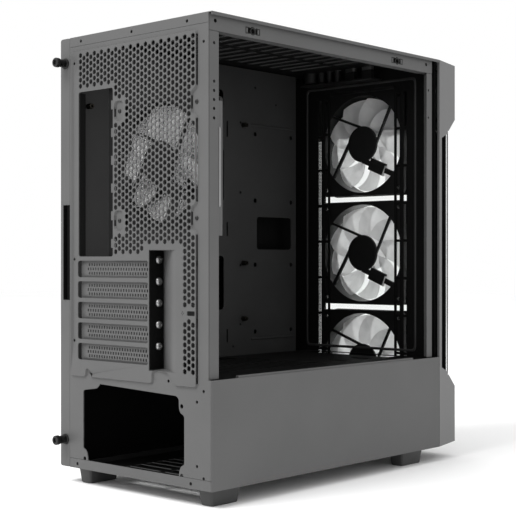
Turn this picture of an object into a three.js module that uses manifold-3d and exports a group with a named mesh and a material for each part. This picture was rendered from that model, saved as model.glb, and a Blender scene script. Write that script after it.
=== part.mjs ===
// Desktop computer tower for a small mainboard, with its glass side off.
// Millimetres, +Z up. The front faces -Y, the rear faces +Y and the open side faces -X.
// The origin is on the floor, under the middle of the whole tower.

import * as THREE from 'three';
import { mergeVertices } from 'three/addons/utils/BufferGeometryUtils.js';
import Module from 'manifold-3d';

const wasm = await Module();
wasm.setup();

// ---------------------------------------------------------------- driving dimensions

// Whole tower
const width = 214;              // across the two sides
const bodyHeight = 429;         // steel body, without the feet
const footHeight = 16;
const chassisDepth = 359;       // rear face to the seam of the front panel
const bezelDepth = 48.3;        // front panel, seam to front face
const bezelTaper = 11.4;        // how far each side of the front panel leans in
const sheet = 1;                // steel thickness
const gap = 0.3;                // air left between neighbouring pieces

// Levels and recesses
const shroudHeight = 99.5;      // power supply bay, from the floor pan's underside to its lid
const railHeight = 16;          // side rail under the roof
const glassRecess = 4.5;        // how far the open side's frame lies inside the body's side
const traySpace = 25;           // cable space between the tray and the right side
const trayFromSeam = 24;        // tray's front edge, from the seam
const lipWidth = 8;             // folded top and bottom lips of the right side panel
const flangeWidth = 14.3;       // rear flange of the right side panel
const gripLength = 95;          // finger grip in that flange
const ventBridge = 6;           // middle bar between the two rows of filter vents
const capFlange = 9.4;          // rear flanges of the roof and the floor pan
const fieldRise = 2;            // raised field of the rear panel
const fieldFromTop = 14.2;
const fieldFromLeft = 17.7;
const columnFromSeam = 8;       // front column of the open side
const columnDepth = 10;
const rearColumnDepth = 13.5;

// Fans
const fanSize = 120;
const fanThickness = 25;
const fanRim = 3;               // frame left outside the bore
const fanHoleInset = 7.5;       // screw holes, from the frame's edge
const fanStrut = 3;             // thickness of the motor's seat and its struts
const fanHubRadius = 20;
const cableStrutAngle = 140;    // the wide strut, which carries the motor's cable
const cableStrutWidth = 14;
const fanTipClearance = 2;      // blade tip to bore
const bladeCount = 9;
const frontFanSpacing = 7;      // from one front fan to the next
const frontFansLift = 0.8;      // middle of the front fans over the middle of the body
const rearFanFromLeft = 71.6;
const rearFanUnderIo = 75.8;    // fan centre under the top of the connector opening

// Rear panel openings: mainboard connectors, expansion slots, power supply
const ioWidth = 48;
const ioHeight = 162.6;
const ioOverSlots = 174.8;      // top of the connector opening over the top slot's middle
const ioFromTray = 4.1;
const slotCount = 5;
const slotPitch = 20.32;
const slotBridge = 3.92;        // panel left between two slot openings
const coverSpacing = 1.92;      // air between two slot covers
const slotOpeningLength = 101;
const coverOverlap = 4;         // slot cover past the end of its opening
const slotFromTray = 4.5;
const slotsOverShroud = 17.42;  // lowest slot's middle over the power supply bay
const slotScrewOffset = 8.9;    // screw above the centre line of its slot
const pocketDepth = 16.5;       // recess that takes the slot screws
const pocketRun = 37;           // its ramp, back up to the field
const psuHoleX = 137.5;         // power supply screw spacing, across
const psuHoleZ = 64;
const psuFromLeft = 38.8;       // screw column nearest the open side
const psuFromBottom = 10;

// Front window and fan slots
const windowWidth = 94;
const fanSlotWidth = 4.5;
const fanSlotLength = 39.6;
const fanSlotBridge = 3;
const wideSlotSpacing = 124.5;  // slots for the next larger fan size

// Front panel
const bezelWall = 3;
const glassThickness = 3;
const glassClearance = 1.8;     // front fans to the back of the glass
const glassInset = 7.5;         // glass edge inside the body's side
const chamferInner = 137.6;     // from the middle of the front fans to the blocks
const chamferOuter = 152;
const intakeStrip = 7.5;        // solid strip between the seam and the side intake

// Feet
const footLength = 40;
const footWidth = 20;
const footFromRear = 8;
const footFromLeft = 8;
const footFromRight = 16.5;
const frontFootFromSeam = 59;

// Hand screws of the right side panel
const screwFromEdge = 8;
const screwFromTop = 25;
const screwFromBottom = 27.3;
const screwStandOut = 14;
const shankRadius = 1.7;
const neckRadius = 3;
const screwHeadRadius = 4.9;
const washerRadius = 5.5;
const washerThickness = 2.2;

// Controls and sockets in the roof
const powerRadius = 7;
const resetRadius = 3.2;
const buttonTravel = 1.5;
const controlsFromSeam = 19;
const powerFromRight = 45;
const boardDrop = 15;           // connector board under the roof
const usbWidth = 13.4;
const usbThickness = 6;
const jackRadius = 3.8;

// Filters
const topFilterWidth = 150;
const topFilterFromRear = 18;
const topFilterFromSeam = 45;
const filterThickness = 1;
const bottomFilterWidth = 112;
const bottomFilterLength = 130;
const bottomFilterFromRear = 24;

// Drive cage
const cageWidth = 112;
const cageLength = 125;
const cageFromSeam = 20;
const cageBays = 2;
const bayHeight = 34;

// ---------------------------------------------------------------- derived places

const left = -width / 2;
const right = width / 2;
const bottom = footHeight;
const top = footHeight + bodyHeight;
const rear = (chassisDepth + bezelDepth - screwStandOut) / 2;
const seam = rear - chassisDepth;
const front = seam - bezelDepth;
const recessX = left + glassRecess;
const trayX = right - traySpace;
const shroudTop = bottom + shroudHeight;
const railBottom = top - railHeight;
const flangeEdge = right - flangeWidth;
const floorTop = bottom + sheet;
const coverInner = left + sheet + gap;
const rightInner = right - sheet - gap;
const fromRear = (distance) => rear - distance;

const fanBore = fanSize - 2 * fanRim;
const fanHoleSpacing = fanSize - 2 * fanHoleInset;
const frontFanPitch = fanSize + frontFanSpacing;
const fansMiddleZ = bottom + bodyHeight / 2 + frontFansLift;
const windowHalf = frontFanPitch + 0.53 * fanSize;
const frontPlateFront = seam + sheet + 0.5;
const frontPlateRear = frontPlateFront + sheet;
const frontFanBack = frontPlateFront - gap;
const glassBack = frontFanBack - fanThickness - glassClearance;

const slotRightX = trayX - slotFromTray;
const slotLeftX = slotRightX - slotOpeningLength;       // the end nearest the slot screws
const slotBottomCentreZ = shroudTop + slotsOverShroud;
const slotTopCentreZ = slotBottomCentreZ + (slotCount - 1) * slotPitch;
const ioTop = slotTopCentreZ + ioOverSlots;
const ioRightX = trayX - ioFromTray;
const rearFanX = left + rearFanFromLeft;
const rearFanZ = ioTop - rearFanUnderIo;
const psuLeftX = left + psuFromLeft;
const psuBottomZ = bottom + psuFromBottom;

const screwUpperZ = top - screwFromTop;
const screwLowerZ = bottom + screwFromBottom;
const controlsY = seam + controlsFromSeam;

// ---------------------------------------------------------------- finishes

const finish = (color, roughness, metalness, extra = {}) =>
  new THREE.MeshStandardMaterial({ color, roughness, metalness, ...extra });

const paintedSteel = finish(0x6e6e6e, 0.55, 0.4);
const darkSteel = finish(0x2b2b2c, 0.6, 0.4);
const mouldedPlastic = finish(0x6a6a6a, 0.5, 0);
const blackPlastic = finish(0x101011, 0.5, 0);
const frostedPlastic = finish(0xe8ecee, 0.35, 0, { transparent: true, opacity: 0.75 });
const clearGlass = finish(0xdfe6e6, 0.05, 0, { transparent: true, opacity: 0.25 });
const screwSteel = finish(0x8f8f8f, 0.35, 1);
const blackScrew = finish(0x1a1a1a, 0.4, 0.9);
const footRubber = finish(0x3a3a3a, 0.8, 0);
const filterMesh = finish(0x1c1c1c, 0.9, 0);

// ---------------------------------------------------------------- solid making

const tower = new THREE.Group();

// A closed three.js geometry as a solid that can be cut and joined.
function solid(geometry) {
  const bare = geometry.index ? geometry.toNonIndexed() : geometry.clone();
  bare.deleteAttribute('normal');
  bare.deleteAttribute('uv');
  const merged = mergeVertices(bare, 1e-4);
  return new wasm.Manifold(new wasm.Mesh({
    numProp: 3,
    vertProperties: new Float32Array(merged.attributes.position.array),
    triVerts: new Uint32Array(merged.index.array),
  }));
}

function join(first, ...others) {
  return others.reduce((whole, piece) => whole.add(piece), first);
}

function cut(first, ...others) {
  return others.reduce((whole, piece) => whole.subtract(piece), first);
}

// Adds a finished solid to the tower as one named mesh.
function addPiece(name, shape, material) {
  const { vertProperties, triVerts } = shape.getMesh();
  const geometry = new THREE.BufferGeometry();
  geometry.setAttribute('position', new THREE.BufferAttribute(new Float32Array(vertProperties), 3));
  geometry.setIndex(new THREE.BufferAttribute(new Uint32Array(triVerts), 1));
  geometry.computeVertexNormals();
  const mesh = new THREE.Mesh(geometry, material);
  mesh.name = name;
  tower.add(mesh);
}

// Box between two corners.
function block(x0, x1, y0, y1, z0, z1) {
  const geometry = new THREE.BoxGeometry(x1 - x0, y1 - y0, z1 - z0);
  geometry.translate((x0 + x1) / 2, (y0 + y1) / 2, (z0 + z1) / 2);
  return solid(geometry);
}

// Outlines are lists of [a, b] points. Each extruder says which plane they lie in.
function extruded(outline, length) {
  const shape = Array.isArray(outline)
    ? new THREE.Shape(outline.map(([a, b]) => new THREE.Vector2(a, b)))
    : outline;
  return new THREE.ExtrudeGeometry(shape, { depth: length, bevelEnabled: false, curveSegments: 3 });
}

// Outline in X and Y, standing from z0 to z1.
function upright(outline, z0, z1) {
  return solid(extruded(outline, z1 - z0).translate(0, 0, z0));
}

// Outline in X and Z, lying from y0 to y1.
function lengthwise(outline, y0, y1) {
  return solid(extruded(outline, y1 - y0).rotateX(Math.PI / 2).translate(0, y1, 0));
}

// Outline in Y and Z, lying from x0 to x1.
function crosswise(outline, x0, x1) {
  const turn = new THREE.Matrix4().set(0, 0, 1, x0, 1, 0, 0, 0, 0, 1, 0, 0, 0, 0, 0, 1);
  return solid(extruded(outline, x1 - x0).applyMatrix4(turn));
}

// Rectangle with rounded corners, as a shape.
function roundedRectangle(a0, a1, b0, b1, radius) {
  const shape = new THREE.Shape();
  shape.moveTo(a0 + radius, b0);
  shape.lineTo(a1 - radius, b0);
  shape.absarc(a1 - radius, b0 + radius, radius, -Math.PI / 2, 0);
  shape.lineTo(a1, b1 - radius);
  shape.absarc(a1 - radius, b1 - radius, radius, 0, Math.PI / 2);
  shape.lineTo(a0 + radius, b1);
  shape.absarc(a0 + radius, b1 - radius, radius, Math.PI / 2, Math.PI);
  shape.lineTo(a0, b0 + radius);
  shape.absarc(a0 + radius, b0 + radius, radius, Math.PI, 1.5 * Math.PI);
  return shape;
}

// Round bars along each axis, from one end to the other.
function rodY(radius, x, z, y0, y1, sides = 8) {
  const geometry = new THREE.CylinderGeometry(radius, radius, y1 - y0, sides);
  return solid(geometry.translate(x, (y0 + y1) / 2, z));
}

function rodX(radius, y, z, x0, x1, sides = 8) {
  const geometry = new THREE.CylinderGeometry(radius, radius, x1 - x0, sides).rotateZ(Math.PI / 2);
  return solid(geometry.translate((x0 + x1) / 2, y, z));
}

function rodZ(radius, x, y, z0, z1, sides = 8) {
  const geometry = new THREE.CylinderGeometry(radius, radius, z1 - z0, sides).rotateX(Math.PI / 2);
  return solid(geometry.translate(x, y, (z0 + z1) / 2));
}

// Centres of a honeycomb with the given pitch that fit inside a rectangle.
function honeycomb(a0, a1, b0, b1, pitch) {
  const centres = [];
  const column = pitch * Math.sqrt(3) / 2;
  const columns = Math.floor((a1 - a0) / column);
  const rows = Math.floor((b1 - b0) / pitch);
  for (let i = 0; i <= columns; i += 1) {
    const shift = (i % 2) * pitch / 2;
    for (let j = 0; j < rows; j += 1) {
      centres.push([a0 + i * column, b0 + pitch / 4 + shift + j * pitch]);
    }
  }
  return centres;
}

// ---------------------------------------------------------------- rear panel

const fieldLeft = left + fieldFromLeft;
const fieldRight = flangeEdge - 3;
const fieldBottom = slotBottomCentreZ - 25.5;
const fieldTop = top - fieldFromTop;
const fieldFace = rear + fieldRise;
const flangeSeatDepth = sheet + 0.4;    // the panel steps in under the side panel's flange
const jointZLow = bottom + capFlange + gap;
const jointZHigh = top - capFlange - gap;
const slotCentres = Array.from({ length: slotCount }, (_, i) => slotTopCentreZ - i * slotPitch);
const pocketX = slotLeftX - 2.8;        // wall of the pocket that the slot covers are screwed to
const pocketTop = slotTopCentreZ + 20.4;
const pocketBottom = slotBottomCentreZ - 13.2;
const slotScrewDepth = 9.4;

// Two notches in the field's edge and two round pads keep the fan's screws at the panel's level.
function fieldOutline(inset) {
  const padReach = 9;
  const notch = 6.3;
  const a0 = fieldLeft + inset;
  const a1 = fieldRight - inset;
  const b0 = fieldBottom + inset;
  const b1 = fieldTop - inset;
  const corner = 5;
  const points = [[a0 + corner, b0], [a1 - corner, b0], [a1, b0 + corner], [a1, b1 - corner],
    [a1 - corner, b1], [a0 + corner, b1], [a0, b1 - corner]];
  for (const side of [1, -1]) {
    const z = rearFanZ + side * fanHoleSpacing / 2;
    points.push([a0, z + padReach + notch / 2 + inset], [a0 + notch, z + padReach + inset],
      [a0 + notch, z - padReach - inset], [a0, z - padReach - notch / 2 - inset]);
  }
  points.push([a0, b0 + corner]);
  return points;
}

function rearPanel() {
  const seatTop = rear - flangeSeatDepth;
  const section = [[coverInner, rear - sheet], [flangeEdge - gap - sheet, rear - sheet],
    [flangeEdge - gap - sheet, seatTop - sheet], [rightInner, seatTop - sheet],
    [rightInner, seatTop], [flangeEdge - gap, seatTop], [flangeEdge - gap, rear],
    [coverInner, rear]];
  let panel = upright(section, jointZLow, jointZHigh);
  const openSideCut = block(left - 1, recessX, rear - 9, rear + 1, shroudTop + gap, top);
  panel = cut(panel, openSideCut, lengthwise(fieldOutline(sheet), rear - 9, rear + 9));
  const raised = cut(lengthwise(fieldOutline(0), rear - sheet, fieldFace),
    lengthwise(fieldOutline(sheet), rear - 2 * sheet, fieldFace - sheet));
  panel = join(panel, raised);

  // Pads for the two fan screws inside the field
  const padX = rearFanX - fanHoleSpacing / 2;
  for (const z of [rearFanZ + fanHoleSpacing / 2, rearFanZ - fanHoleSpacing / 2]) {
    const x = padX + fanHoleSpacing;
    const padRadius = 9;
    panel = cut(panel, rodY(padRadius, x, z, rear - 5, rear + 5, 12));
    panel = join(panel, cut(rodY(padRadius + 0.5, x, z, rear - sheet, fieldFace, 12),
      rodY(padRadius - sheet, x, z, rear, rear + 5, 12)));
    for (const holeX of [padX, x]) {
      panel = cut(panel, rodY(2.2, holeX, z, rear - 5, rear + 5));
    }
  }

  // Recess for the slot screws: a wall across the slots' ends, then a ramp back up.
  // The wall stops short of the covers, which pass over it to reach the recess.
  const rampEnd = pocketX - pocketRun;
  const shellTop = fieldFace - 0.2 * sheet;
  const pocketFloor = rear - pocketDepth;
  const outside = [[pocketX + sheet, shellTop], [rampEnd - 1.5 * sheet, shellTop],
    [pocketX - 2 * sheet, pocketFloor - sheet], [pocketX + sheet, pocketFloor - sheet]];
  const inside = [[pocketX, fieldFace + 3], [rampEnd, fieldFace + 3], [rampEnd, fieldFace],
    [pocketX - sheet, pocketFloor], [pocketX, pocketFloor]];
  panel = cut(panel, upright(inside, pocketBottom, pocketTop));
  const shell = cut(upright(outside, pocketBottom - sheet, pocketTop + sheet),
    upright(inside, pocketBottom, pocketTop));
  panel = join(panel, shell);
  panel = cut(panel, block(pocketX - sheet, pocketX + 2 * sheet, rear - sheet + 0.1, fieldFace - sheet,
    pocketBottom, pocketTop));

  // Slots, mainboard connectors and power supply
  for (const z of slotCentres) {
    const half = (slotPitch - slotBridge) / 2;
    panel = cut(panel, block(slotLeftX, slotRightX, rear - 0.5 * sheet, rear + 9, z - half, z + half));
    panel = cut(panel, rodX(2.2, rear - slotScrewDepth, z + slotScrewOffset,
      pocketX - 0.5, pocketX + 5));
  }
  panel = cut(panel, block(ioRightX - ioWidth, ioRightX, rear - 9, rear + 9, ioTop - ioHeight, ioTop));
  const tuck = 3.3;
  const psuOpening = [[psuLeftX - tuck, psuBottomZ + 10], [psuLeftX + 3, psuBottomZ + 0.5],
    [psuLeftX + psuHoleX - 5, psuBottomZ - 0.6], [psuLeftX + psuHoleX - 5, psuBottomZ + 7],
    [psuLeftX + psuHoleX + 2.2, psuBottomZ + 8],
    [psuLeftX + psuHoleX + 2.2, psuBottomZ + psuHoleZ + 3],
    [psuLeftX + 119, psuBottomZ + psuHoleZ + 3], [psuLeftX + 107, psuBottomZ + psuHoleZ + 8.4],
    [psuLeftX + 7, psuBottomZ + psuHoleZ + 8.4], [psuLeftX + 7, psuBottomZ + psuHoleZ - 7],
    [psuLeftX - tuck, psuBottomZ + psuHoleZ - 9]];
  panel = cut(panel, lengthwise(psuOpening, rear - 9, rear + 9));
  for (const [x, z] of [[0, 0.9], [psuHoleX, 0.9], [0, psuHoleZ], [psuHoleX - 24, 74.2]]) {
    panel = cut(panel, rodY(2, psuLeftX + x, psuBottomZ + z, rear - 9, rear + 9));
  }

  // Vent in front of the rear fan, and the vent strip beside the slots
  const ventRadius = 8.6;
  const ventPitch = 18.5;
  const reach = fanBore / 2 - ventRadius - 1;
  for (const [x, z] of honeycomb(rearFanX - 50, rearFanX + 50, rearFanZ - 54, rearFanZ + 54, ventPitch)) {
    if (Math.hypot(x - rearFanX, z - rearFanZ) < reach) {
      panel = cut(panel, rodY(ventRadius, x, z, rear - 9, rear + 9, 6));
    }
  }
  const stripX = fieldLeft + 11;
  for (let z = fieldBottom + 20; z < pocketTop; z += ventPitch) {
    panel = cut(panel, rodY(0.6 * ventRadius, stripX, z, rear - 9, rear + 9, 6));
  }

  // Threaded holes for the side panel's hand screws
  for (const z of [screwUpperZ, screwLowerZ]) {
    panel = cut(panel, rodY(shankRadius + gap, right - screwFromEdge, z, rear - 9, rear + 9));
  }
  return panel;
}

addPiece('rear_panel', rearPanel(), paintedSteel);

// Space that the roof and the floor leave for the side panel's rear flange.
const flangeRoom = block(flangeEdge - gap, right + 1, rear - sheet - gap, rear + 1, bottom - 1, top + 1);

// ---------------------------------------------------------------- slot covers and their screws

const coverThickness = 0.8;
const coverHeight = slotPitch - coverSpacing;
const coverFace = fieldFace - 1.8;
const tabX = pocketX - gap;

slotCentres.forEach((z, i) => {
  const plateBack = coverFace - coverThickness;
  const halfCover = coverHeight / 2;
  const plate = block(pocketX, slotRightX + coverOverlap, plateBack, coverFace,
    z - halfCover, z + halfCover);
  const tabBottom = z + slotScrewOffset - 14;
  const fold = block(tabX - coverThickness, pocketX + 1, plateBack, coverFace,
    tabBottom, z + halfCover);
  const tab = block(tabX - coverThickness, tabX, rear - pocketDepth + gap, coverFace,
    tabBottom, tabBottom + coverHeight);
  const screwHole = rodX(2.2, rear - slotScrewDepth, z + slotScrewOffset, tabX - 5, tabX + 5);
  const vents = [];
  for (let x = slotLeftX + 8; x < slotRightX - 12; x += 12) {
    vents.push(block(x, x + 7, coverFace - 5, coverFace + 5, z - 3, z + 3));
  }
  addPiece(`slot_cover_${i + 1}`, cut(join(plate, fold, tab), screwHole, ...vents), paintedSteel);

  const y = rear - slotScrewDepth;
  const headX = tabX - coverThickness - gap;
  const screwZ = z + slotScrewOffset;
  const head = rodX(4, y, screwZ, headX - 2.4, headX, 10);
  const shank = rodX(1.7, y, screwZ, headX - 1, headX + 7);
  addPiece(`slot_screw_${i + 1}`, join(head, shank), screwSteel);
});

// ---------------------------------------------------------------- roof

const roofY0 = seam + gap;
const recessX0 = -topFilterWidth / 2 - 0.5;
const recessY0 = seam + topFilterFromSeam - 0.5;
const recessY1 = fromRear(topFilterFromRear) + 0.5;
const recessFloor = top - filterThickness - gap;
const lipEdge = right - lipWidth;
const usbX = [-22, 2];
const jackX = [22, 34];
const powerX = right - powerFromRight;
const resetX = powerX - 16;

function roofPanel() {
  const section = [[left, top], [left, top - 3], [left + sheet, top - 3],
    [left + sheet, top - sheet], [lipEdge - gap - sheet, top - sheet],
    [lipEdge - gap - sheet, top - 2 * sheet - gap - 0.2], [rightInner, top - 2 * sheet - gap - 0.2],
    [rightInner, top - sheet - gap], [lipEdge - gap, top - sheet - gap], [lipEdge - gap, top]];
  let roof = cut(lengthwise(section, roofY0, rear), flangeRoom);
  roof = join(roof, block(recessX, flangeEdge - gap, rear - sheet, rear, top - capFlange, top - 0.5));
  roof = join(roof, block(recessX, lipEdge - 2, roofY0, roofY0 + sheet, top - capFlange, top - 0.5));

  // Sunk seat for the top filter, with vent slots through it
  roof = cut(roof, block(recessX0, -recessX0, recessY0, recessY1, top - 5, top + 5));
  const seatOutside = block(recessX0 - sheet, -recessX0 + sheet, recessY0 - sheet, recessY1 + sheet,
    recessFloor - sheet, top - 0.4);
  roof = join(roof, cut(seatOutside, block(recessX0, -recessX0, recessY0, recessY1, recessFloor, top + 5)));
  const ventLength = 59;
  const ventWidth = 10;
  for (let y = recessY0 + 9; y < recessY1 - ventWidth - 4; y += ventWidth + 7.5) {
    for (const x of [-ventBridge / 2 - ventLength, ventBridge / 2]) {
      roof = cut(roof, block(x, x + ventLength, y, y + ventWidth, top - 9, top + 9));
    }
  }

  // Holes for the controls and sockets
  for (const x of usbX) {
    roof = cut(roof, block(x - usbWidth / 2 - gap, x + usbWidth / 2 + gap,
      controlsY - usbThickness / 2 - gap, controlsY + usbThickness / 2 + gap, top - 9, top + 9));
  }
  for (const x of jackX) {
    roof = cut(roof, rodZ(jackRadius + 0.5, x, controlsY, top - 9, top + 9, 12));
  }
  roof = cut(roof, rodZ(powerRadius + 0.4, powerX, controlsY, top - 9, top + 9, 16));
  roof = cut(roof, rodZ(resetRadius + 0.4, resetX, controlsY, top - 9, top + 9, 12));
  return roof;
}

addPiece('roof_panel', roofPanel(), paintedSteel);

// ---------------------------------------------------------------- filters

// A flat frame with a grid of windows, which hold the mesh.
function filterFrame(x0, x1, y0, y1, z0, thickness, across, along, bar) {
  let frame = block(x0, x1, y0, y1, z0, z0 + thickness);
  const stepX = (x1 - x0 - bar) / across;
  const stepY = (y1 - y0 - bar) / along;
  for (let i = 0; i < across; i += 1) {
    for (let j = 0; j < along; j += 1) {
      const a = x0 + bar + i * stepX;
      const b = y0 + bar + j * stepY;
      frame = cut(frame, block(a, a + stepX - bar, b, b + stepY - bar, z0 - 5, z0 + 5));
    }
  }
  return frame;
}

addPiece('top_dust_filter', filterFrame(-topFilterWidth / 2, topFilterWidth / 2,
  recessY0 + 0.5, recessY1 - 0.5, recessFloor + gap, filterThickness, 2, 4, 7), filterMesh);

const bottomFilterZ = bottom - 3.6;
const bottomFilterY1 = fromRear(bottomFilterFromRear);
const bottomFilter = filterFrame(-bottomFilterWidth / 2, bottomFilterWidth / 2,
  bottomFilterY1 - bottomFilterLength, bottomFilterY1, bottomFilterZ, 2, 2, 2, 7);
addPiece('bottom_dust_filter', bottomFilter, filterMesh);

// ---------------------------------------------------------------- floor pan

function floorPan() {
  const step = sheet + gap;
  const section = [[coverInner, bottom], [lipEdge - gap, bottom], [lipEdge - gap, bottom + step],
    [rightInner, bottom + step], [rightInner, bottom + step + sheet],
    [lipEdge - gap - sheet, bottom + step + sheet], [lipEdge - gap - sheet, floorTop],
    [coverInner, floorTop]];
  let pan = cut(lengthwise(section, seam + gap, rear), flangeRoom);
  pan = join(pan, block(coverInner, flangeEdge - gap, rear - sheet, rear,
    bottom + 0.5, bottom + capFlange));
  pan = join(pan, block(coverInner, lipEdge - 2, seam + gap, seam + gap + sheet,
    bottom + 0.5, bottom + capFlange));

  // Intake under the power supply
  const ventLength = 45;
  const ventWidth = 9;
  const ventsStart = bottomFilterY1 - bottomFilterLength + 8;
  for (let y = ventsStart; y < bottomFilterY1 - ventWidth - 3; y += ventWidth + 6) {
    for (const x of [-ventBridge / 2 - ventLength, ventBridge / 2]) {
      pan = cut(pan, block(x, x + ventLength, y, y + ventWidth, bottom - 9, bottom + 9));
    }
  }

  // Two rails that the bottom filter slides in
  const filterEdge = bottomFilterWidth / 2 + 0.5;
  const railFoot = bottomFilterZ - gap;
  const rail = [[filterEdge, bottom + 0.5], [filterEdge, railFoot], [filterEdge - 3, railFoot],
    [filterEdge - 3, railFoot - 0.8], [filterEdge + 1.2, railFoot - 0.8], [filterEdge + 1.2, bottom + 0.5]];
  const railY = [bottomFilterY1 - bottomFilterLength - 2, bottomFilterY1];
  pan = join(pan, lengthwise(rail, ...railY));
  return join(pan, lengthwise(rail.map(([x, z]) => [-x, z]).reverse(), ...railY));
}

addPiece('floor_pan', floorPan(), paintedSteel);

// ---------------------------------------------------------------- power supply shroud

const shroudY = [frontPlateRear + gap, rear - sheet - gap];

function shroudLid() {
  let lid = block(coverInner, trayX - gap, ...shroudY, shroudTop - 2 * sheet, shroudTop - sheet);
  const cableSlot = roundedRectangle(trayX - 30, trayX - 8, fromRear(205), fromRear(150), 5);
  lid = cut(lid, upright(cableSlot, shroudTop - 9, shroudTop + 9));
  for (const y of [fromRear(300), fromRear(262), fromRear(224)]) {
    lid = cut(lid, upright(roundedRectangle(-60, -32, y, y + 7, 3.4), shroudTop - 9, shroudTop + 9));
  }
  const frontSlot = roundedRectangle(-58, 58, shroudY[0] + 2, shroudY[0] + 28, 4);
  return cut(lid, upright(frontSlot, shroudTop - 9, shroudTop + 9));
}

addPiece('shroud_lid', shroudLid(), darkSteel);

// The side cover's top edge is folded in to a ledge that carries the glass.
const ledgeEnds = [seam + 48.3, fromRear(36.2)];
const sideCover = join(
  block(left, left + sheet, seam + gap, rear, bottom, shroudTop),
  block(left + 0.4, recessX + 0.6, ...ledgeEnds, shroudTop - sheet + gap, shroudTop),
  block(left + 1.4, recessX + 0.6, ...ledgeEnds, shroudTop - sheet + gap, shroudTop + 1.9));
addPiece('shroud_side_cover', sideCover, paintedSteel);

// ---------------------------------------------------------------- frame of the open side

// Angle section with its outer wall on the recessed side.
const columnBottom = shroudTop + gap;
const columnTop = railBottom - gap;
const columnFront = seam + columnFromSeam;
const rearColumn = join(
  block(recessX, recessX + sheet, fromRear(rearColumnDepth), rear - sheet - gap, columnBottom, columnTop),
  block(recessX, rearFanX - fanSize / 2 - 2 * gap, fromRear(rearColumnDepth),
    fromRear(rearColumnDepth) + sheet, columnBottom, columnTop));
addPiece('rear_left_column', rearColumn, paintedSteel);

const frontColumn = join(
  block(recessX, recessX + sheet, columnFront, columnFront + columnDepth, columnBottom, columnTop),
  block(recessX, recessX + columnDepth, columnFront, columnFront + sheet, columnBottom, columnTop));
addPiece('front_left_column', frontColumn, paintedSteel);

const socketPlaces = [['rear', fromRear(58.5)], ['front', seam + 73.4]];
const socketZ = top - 9.7;
const socketHole = [13.5, 5.2];

function leftTopRail() {
  const y0 = columnFront;
  const y1 = rear - sheet - gap;
  const railTop = top - sheet - gap;
  let rail = join(block(recessX, recessX + sheet, y0, y1, railBottom, railTop),
    block(recessX, recessX + 11, y0, y1, railBottom, railBottom + sheet));
  for (const [, y] of socketPlaces) {
    rail = cut(rail, block(recessX - 1, recessX + 3, y - socketHole[0] / 2, y + socketHole[0] / 2,
      socketZ - socketHole[1] / 2, socketZ + socketHole[1] / 2));
  }
  return rail;
}

addPiece('left_top_rail', leftTopRail(), paintedSteel);

// Sockets that the glass panel's ball studs snap into
const socketDepth = 6;
const studRadius = 2.1;
for (const [name, y] of socketPlaces) {
  const inner = recessX + sheet + gap;
  const [halfLength, halfHeight] = socketHole.map((size) => size / 2 - gap);
  const body = block(recessX - 0.6, inner + socketDepth,
    y - halfLength, y + halfLength, socketZ - halfHeight, socketZ + halfHeight);
  const shoulder = block(inner, inner + socketDepth, y - 11, y + 11, socketZ - 4, socketZ + 4);
  const bore = rodX(studRadius, y, socketZ, recessX - 2, inner + socketDepth - 1, 10);
  addPiece(`panel_socket_${name}`, cut(join(body, shoulder), bore), blackPlastic);
}

// ---------------------------------------------------------------- mainboard tray and standoffs

const boardColumns = [14.7, 169.6, 242];    // from the rear face
const boardRows = [12, 169.5, 232.7].map((drop) => ioTop - drop);
const trayDepth = chassisDepth - trayFromSeam;
const trayTop = recessFloor - sheet - 2 * gap;
// Each opening in the tray: its two distances from the rear face, then its bottom and top.
const trayOpenings = [
  [60, 211, ioTop - 101, ioTop - 41],               // behind the processor
  [170, 210, ioTop + 5, ioTop + 25],                // cables over the mainboard
  [180, 211, ioTop - 221.5, ioTop - 161.4],         // cables at the cards
  [265.6, 326.4, ioTop - 153.8, ioTop - 116],       // cables in front of the mainboard
  [200, trayDepth - 5, bottom + 14, shroudTop - 23.5],    // cables from the drives
  [10, 192, bottom + 6, shroudTop - 7.5],           // the power supply goes in here
];

function mainboardTray() {
  const y0 = fromRear(trayDepth);
  const y1 = rear - sheet - gap - flangeSeatDepth;
  let tray = block(trayX, trayX + sheet, y0, y1, floorTop + gap, trayTop);
  tray = join(tray, block(trayX, trayX + 8, y0, y0 + sheet, floorTop + gap + 3, trayTop));
  for (const [d0, d1, z0, z1] of trayOpenings) {
    const shape = roundedRectangle(fromRear(d1), fromRear(d0), z0, z1, 4);
    tray = cut(tray, crosswise(shape, trayX - 5, trayX + 5));
  }
  return tray;
}

addPiece('mainboard_tray', mainboardTray(), darkSteel);

const standoffHeight = 6.5;
boardColumns.forEach((column, i) => {
  boardRows.forEach((z, j) => {
    const x1 = trayX - gap;
    const post = rodX(3, fromRear(column), z, x1 - standoffHeight, x1, 6);
    const thread = rodX(1.5, fromRear(column), z, x1 - standoffHeight - 1, x1 - 1.5, 6);
    addPiece(`standoff_${i * boardRows.length + j + 1}`, cut(post, thread), screwSteel);
  });
});

// ---------------------------------------------------------------- front steel panel

function frontPlate() {
  const y0 = frontPlateFront;
  const windowBottom = fansMiddleZ - windowHalf;
  const windowTop = fansMiddleZ + windowHalf;
  const outline = roundedRectangle(recessX, rightInner, floorTop + sheet + 2 * gap, trayTop, 0.5);
  let plate = lengthwise(outline, y0, frontPlateRear);
  plate = cut(plate, block(-windowWidth / 2, windowWidth / 2, y0 - 5, y0 + 5, windowBottom, windowTop));
  const slotStep = fanSlotLength + fanSlotBridge;
  for (const spacing of [fanHoleSpacing, wideSlotSpacing]) {
    for (const side of [-1, 1]) {
      const x = side * spacing / 2;
      for (let z = windowTop - 8; z - fanSlotLength > windowBottom; z -= slotStep) {
        plate = cut(plate, block(x - fanSlotWidth / 2, x + fanSlotWidth / 2,
          y0 - 5, y0 + 5, z - fanSlotLength, z));
      }
    }
  }
  return plate;
}

addPiece('front_steel_panel', frontPlate(), darkSteel);

// ---------------------------------------------------------------- fans

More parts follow.
